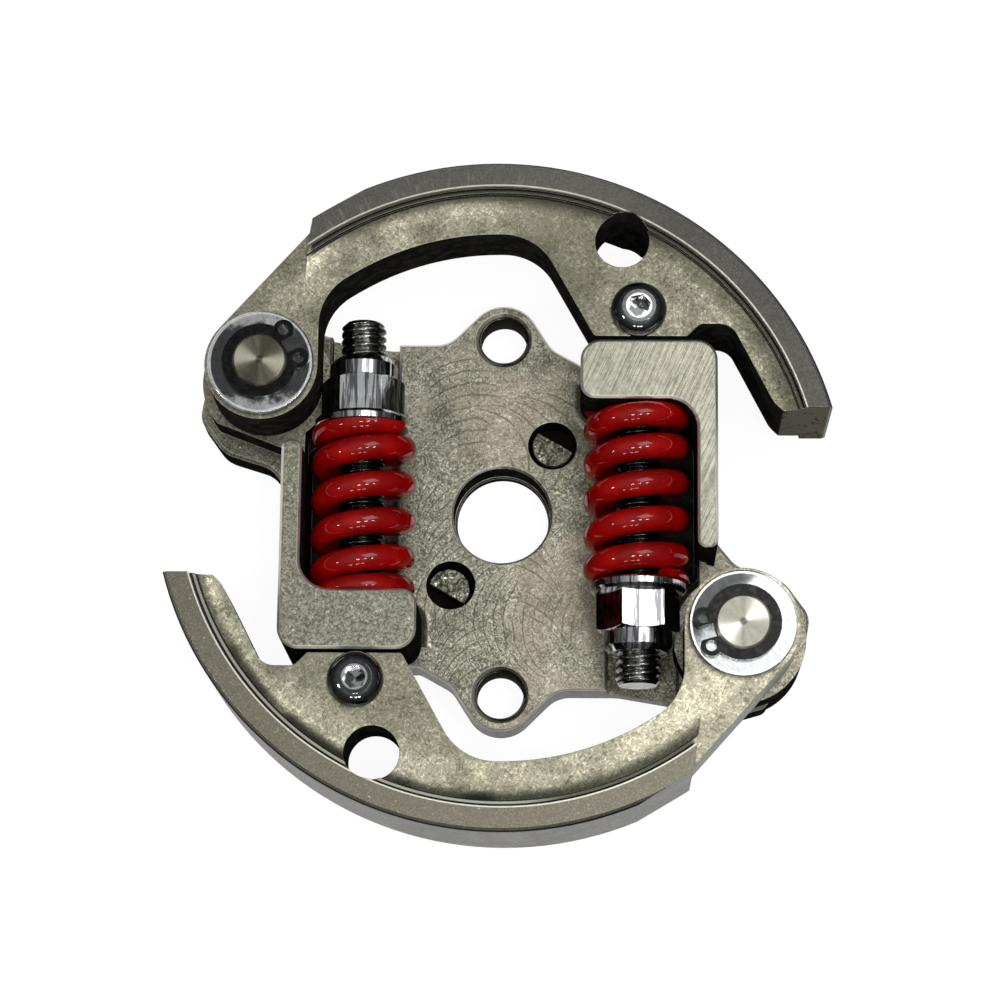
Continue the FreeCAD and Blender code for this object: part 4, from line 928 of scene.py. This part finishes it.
def place_camera():
    """Camera that looks at the clutch as the photo does."""
    back = Vector((math.sin(AZIMUTH) * math.cos(ELEVATION), -math.sin(ELEVATION),
                   math.cos(AZIMUTH) * math.cos(ELEVATION))).normalized()
    right = Vector((0, 1, 0)).cross(back).normalized()
    up = back.cross(right).normalized()
    right, up = (right * math.cos(ROLL) + up * math.sin(ROLL), up * math.cos(ROLL) - right * math.sin(ROLL))
    spot = back * DISTANCE + right * SHIFT_RIGHT + up * SHIFT_UP + Vector((0, 0, HUB_TOP))
    data = bpy.data.cameras.new("photo_camera")
    data.sensor_width = SENSOR
    data.lens = FOCAL_PIXELS * SENSOR / IMAGE_PIXELS
    data.clip_start = 0.01
    camera = bpy.data.objects.new("photo_camera", data)
    bpy.context.scene.collection.objects.link(camera)
    camera.matrix_world = Matrix.Translation(spot) @ Matrix((right, up, back)).transposed().to_4x4()
    bpy.context.scene.camera = camera


def lamp(name, spot, width, height, watts):
    """Area lamp that points at the middle of the clutch."""
    data = bpy.data.lights.new(name, "AREA")
    data.shape = "RECTANGLE"
    data.size = width
    data.size_y = height
    data.energy = watts
    light = bpy.data.objects.new(name, data)
    bpy.context.scene.collection.objects.link(light)
    spot = Vector(spot)
    light.location = spot
    light.rotation_euler = spot.to_track_quat("Z", "Y").to_euler()


def place_lamps():
    """Softbox from the upper right, and small lamps in front whose mirror images are the glints."""
    lamp("softbox", SOFTBOX_SPOT, 0.42, 0.42, 2.0)
    for index, spot in enumerate(BULB_SPOTS):
        lamp("bulb_%d" % index, spot, 0.07, 0.05, 0.42)
    for index, spot in enumerate(WINDOW_SPOTS):
        lamp("window_%d" % index, spot, 0.06, 0.06, 0.14)


def seen_directly(tree):
    """1 for rays from the camera and for those that mirror or glass sends on, else 0."""
    path = tree.nodes.new("ShaderNodeLightPath")
    total = None
    for name in ("Is Camera Ray", "Is Glossy Ray", "Is Transmission Ray"):
        if total is None:
            total = path.outputs[name]
            continue
        node = tree.nodes.new("ShaderNodeMath")
        node.operation = "MAXIMUM"
        tree.links.new(total, node.inputs[0])
        tree.links.new(path.outputs[name], node.inputs[1])
        total = node.outputs[0]
    return total


def make_world():
    """Plain studio: bright overhead, dark towards the horizon, white behind the object."""
    world = bpy.data.worlds.new("studio")
    world.use_nodes = True
    tree = world.node_tree
    tree.nodes.clear()
    way = tree.nodes.new("ShaderNodeTexCoord").outputs["Generated"]
    split = tree.nodes.new("ShaderNodeSeparateXYZ")
    tree.links.new(way, split.inputs[0])
    ramp = tree.nodes.new("ShaderNodeValToRGB")
    tree.links.new(split.outputs["Z"], ramp.inputs[0])
    ramp.color_ramp.elements.new(0.5)
    for element, (position, colour) in zip(ramp.color_ramp.elements, SKY):
        element.position = position
        element.color = colour
    light = tree.nodes.new("ShaderNodeBackground")
    tree.links.new(ramp.outputs[0], light.inputs[0])
    white = tree.nodes.new("ShaderNodeBackground")
    white.inputs[0].default_value = (1, 1, 1, 1)
    mix = tree.nodes.new("ShaderNodeMixShader")
    path = tree.nodes.new("ShaderNodeLightPath")
    tree.links.new(path.outputs["Is Camera Ray"], mix.inputs[0])
    tree.links.new(light.outputs[0], mix.inputs[1])
    tree.links.new(white.outputs[0], mix.inputs[2])
    output = tree.nodes.new("ShaderNodeOutputWorld")
    tree.links.new(mix.outputs[0], output.inputs[0])
    bpy.context.scene.world = world


def make_floor():
    """White table that glows where it is seen and keeps a faint shadow."""
    bm = bmesh.new()
    bmesh.ops.create_grid(bm, x_segments=1, y_segments=1, size=1.5)
    bmesh.ops.translate(bm, verts=bm.verts, vec=(0, 0, -0.02 * MM))
    mesh = bpy.data.meshes.new("table")
    bm.to_mesh(mesh)
    table = bpy.data.objects.new("table", mesh)
    bpy.context.scene.collection.objects.link(table)
    material = bpy.data.materials.new("table_white")
    material.use_nodes = True
    tree = material.node_tree
    tree.nodes.clear()
    matt = tree.nodes.new("ShaderNodeBsdfDiffuse")
    matt.inputs[0].default_value = TABLE_GREY
    shadow = tree.nodes.new("ShaderNodeBsdfDiffuse")
    shadow.inputs[0].default_value = SHADOW_GREY
    glow = tree.nodes.new("ShaderNodeEmission")
    glow.inputs[1].default_value = TABLE_GLOW
    both = tree.nodes.new("ShaderNodeAddShader")
    tree.links.new(shadow.outputs[0], both.inputs[0])
    tree.links.new(glow.outputs[0], both.inputs[1])
    mix = tree.nodes.new("ShaderNodeMixShader")
    tree.links.new(seen_directly(tree), mix.inputs[0])
    tree.links.new(matt.outputs[0], mix.inputs[1])
    tree.links.new(both.outputs[0], mix.inputs[2])
    output = tree.nodes.new("ShaderNodeOutputMaterial")
    tree.links.new(mix.outputs[0], output.inputs[0])
    mesh.materials.append(material)


def dress_nodes():
    """Every solid that stays gets the material of its slot."""
    for part in frame["record"]["subparts"]:
        node = bpy.data.objects[part["node"]]
        for index in range(len(node.material_slots)):
            node.material_slots[index].material = MATERIALS[part["material_slot"]]


dress_nodes()
for side_name in SIDES:
    make_stud(side_name)
    make_spring(side_name)
    make_stub(side_name)
    make_lobe_thread(side_name)
place_camera()
make_world()
make_floor()
place_lamps()
bpy.context.scene.view_settings.view_transform = "Standard"
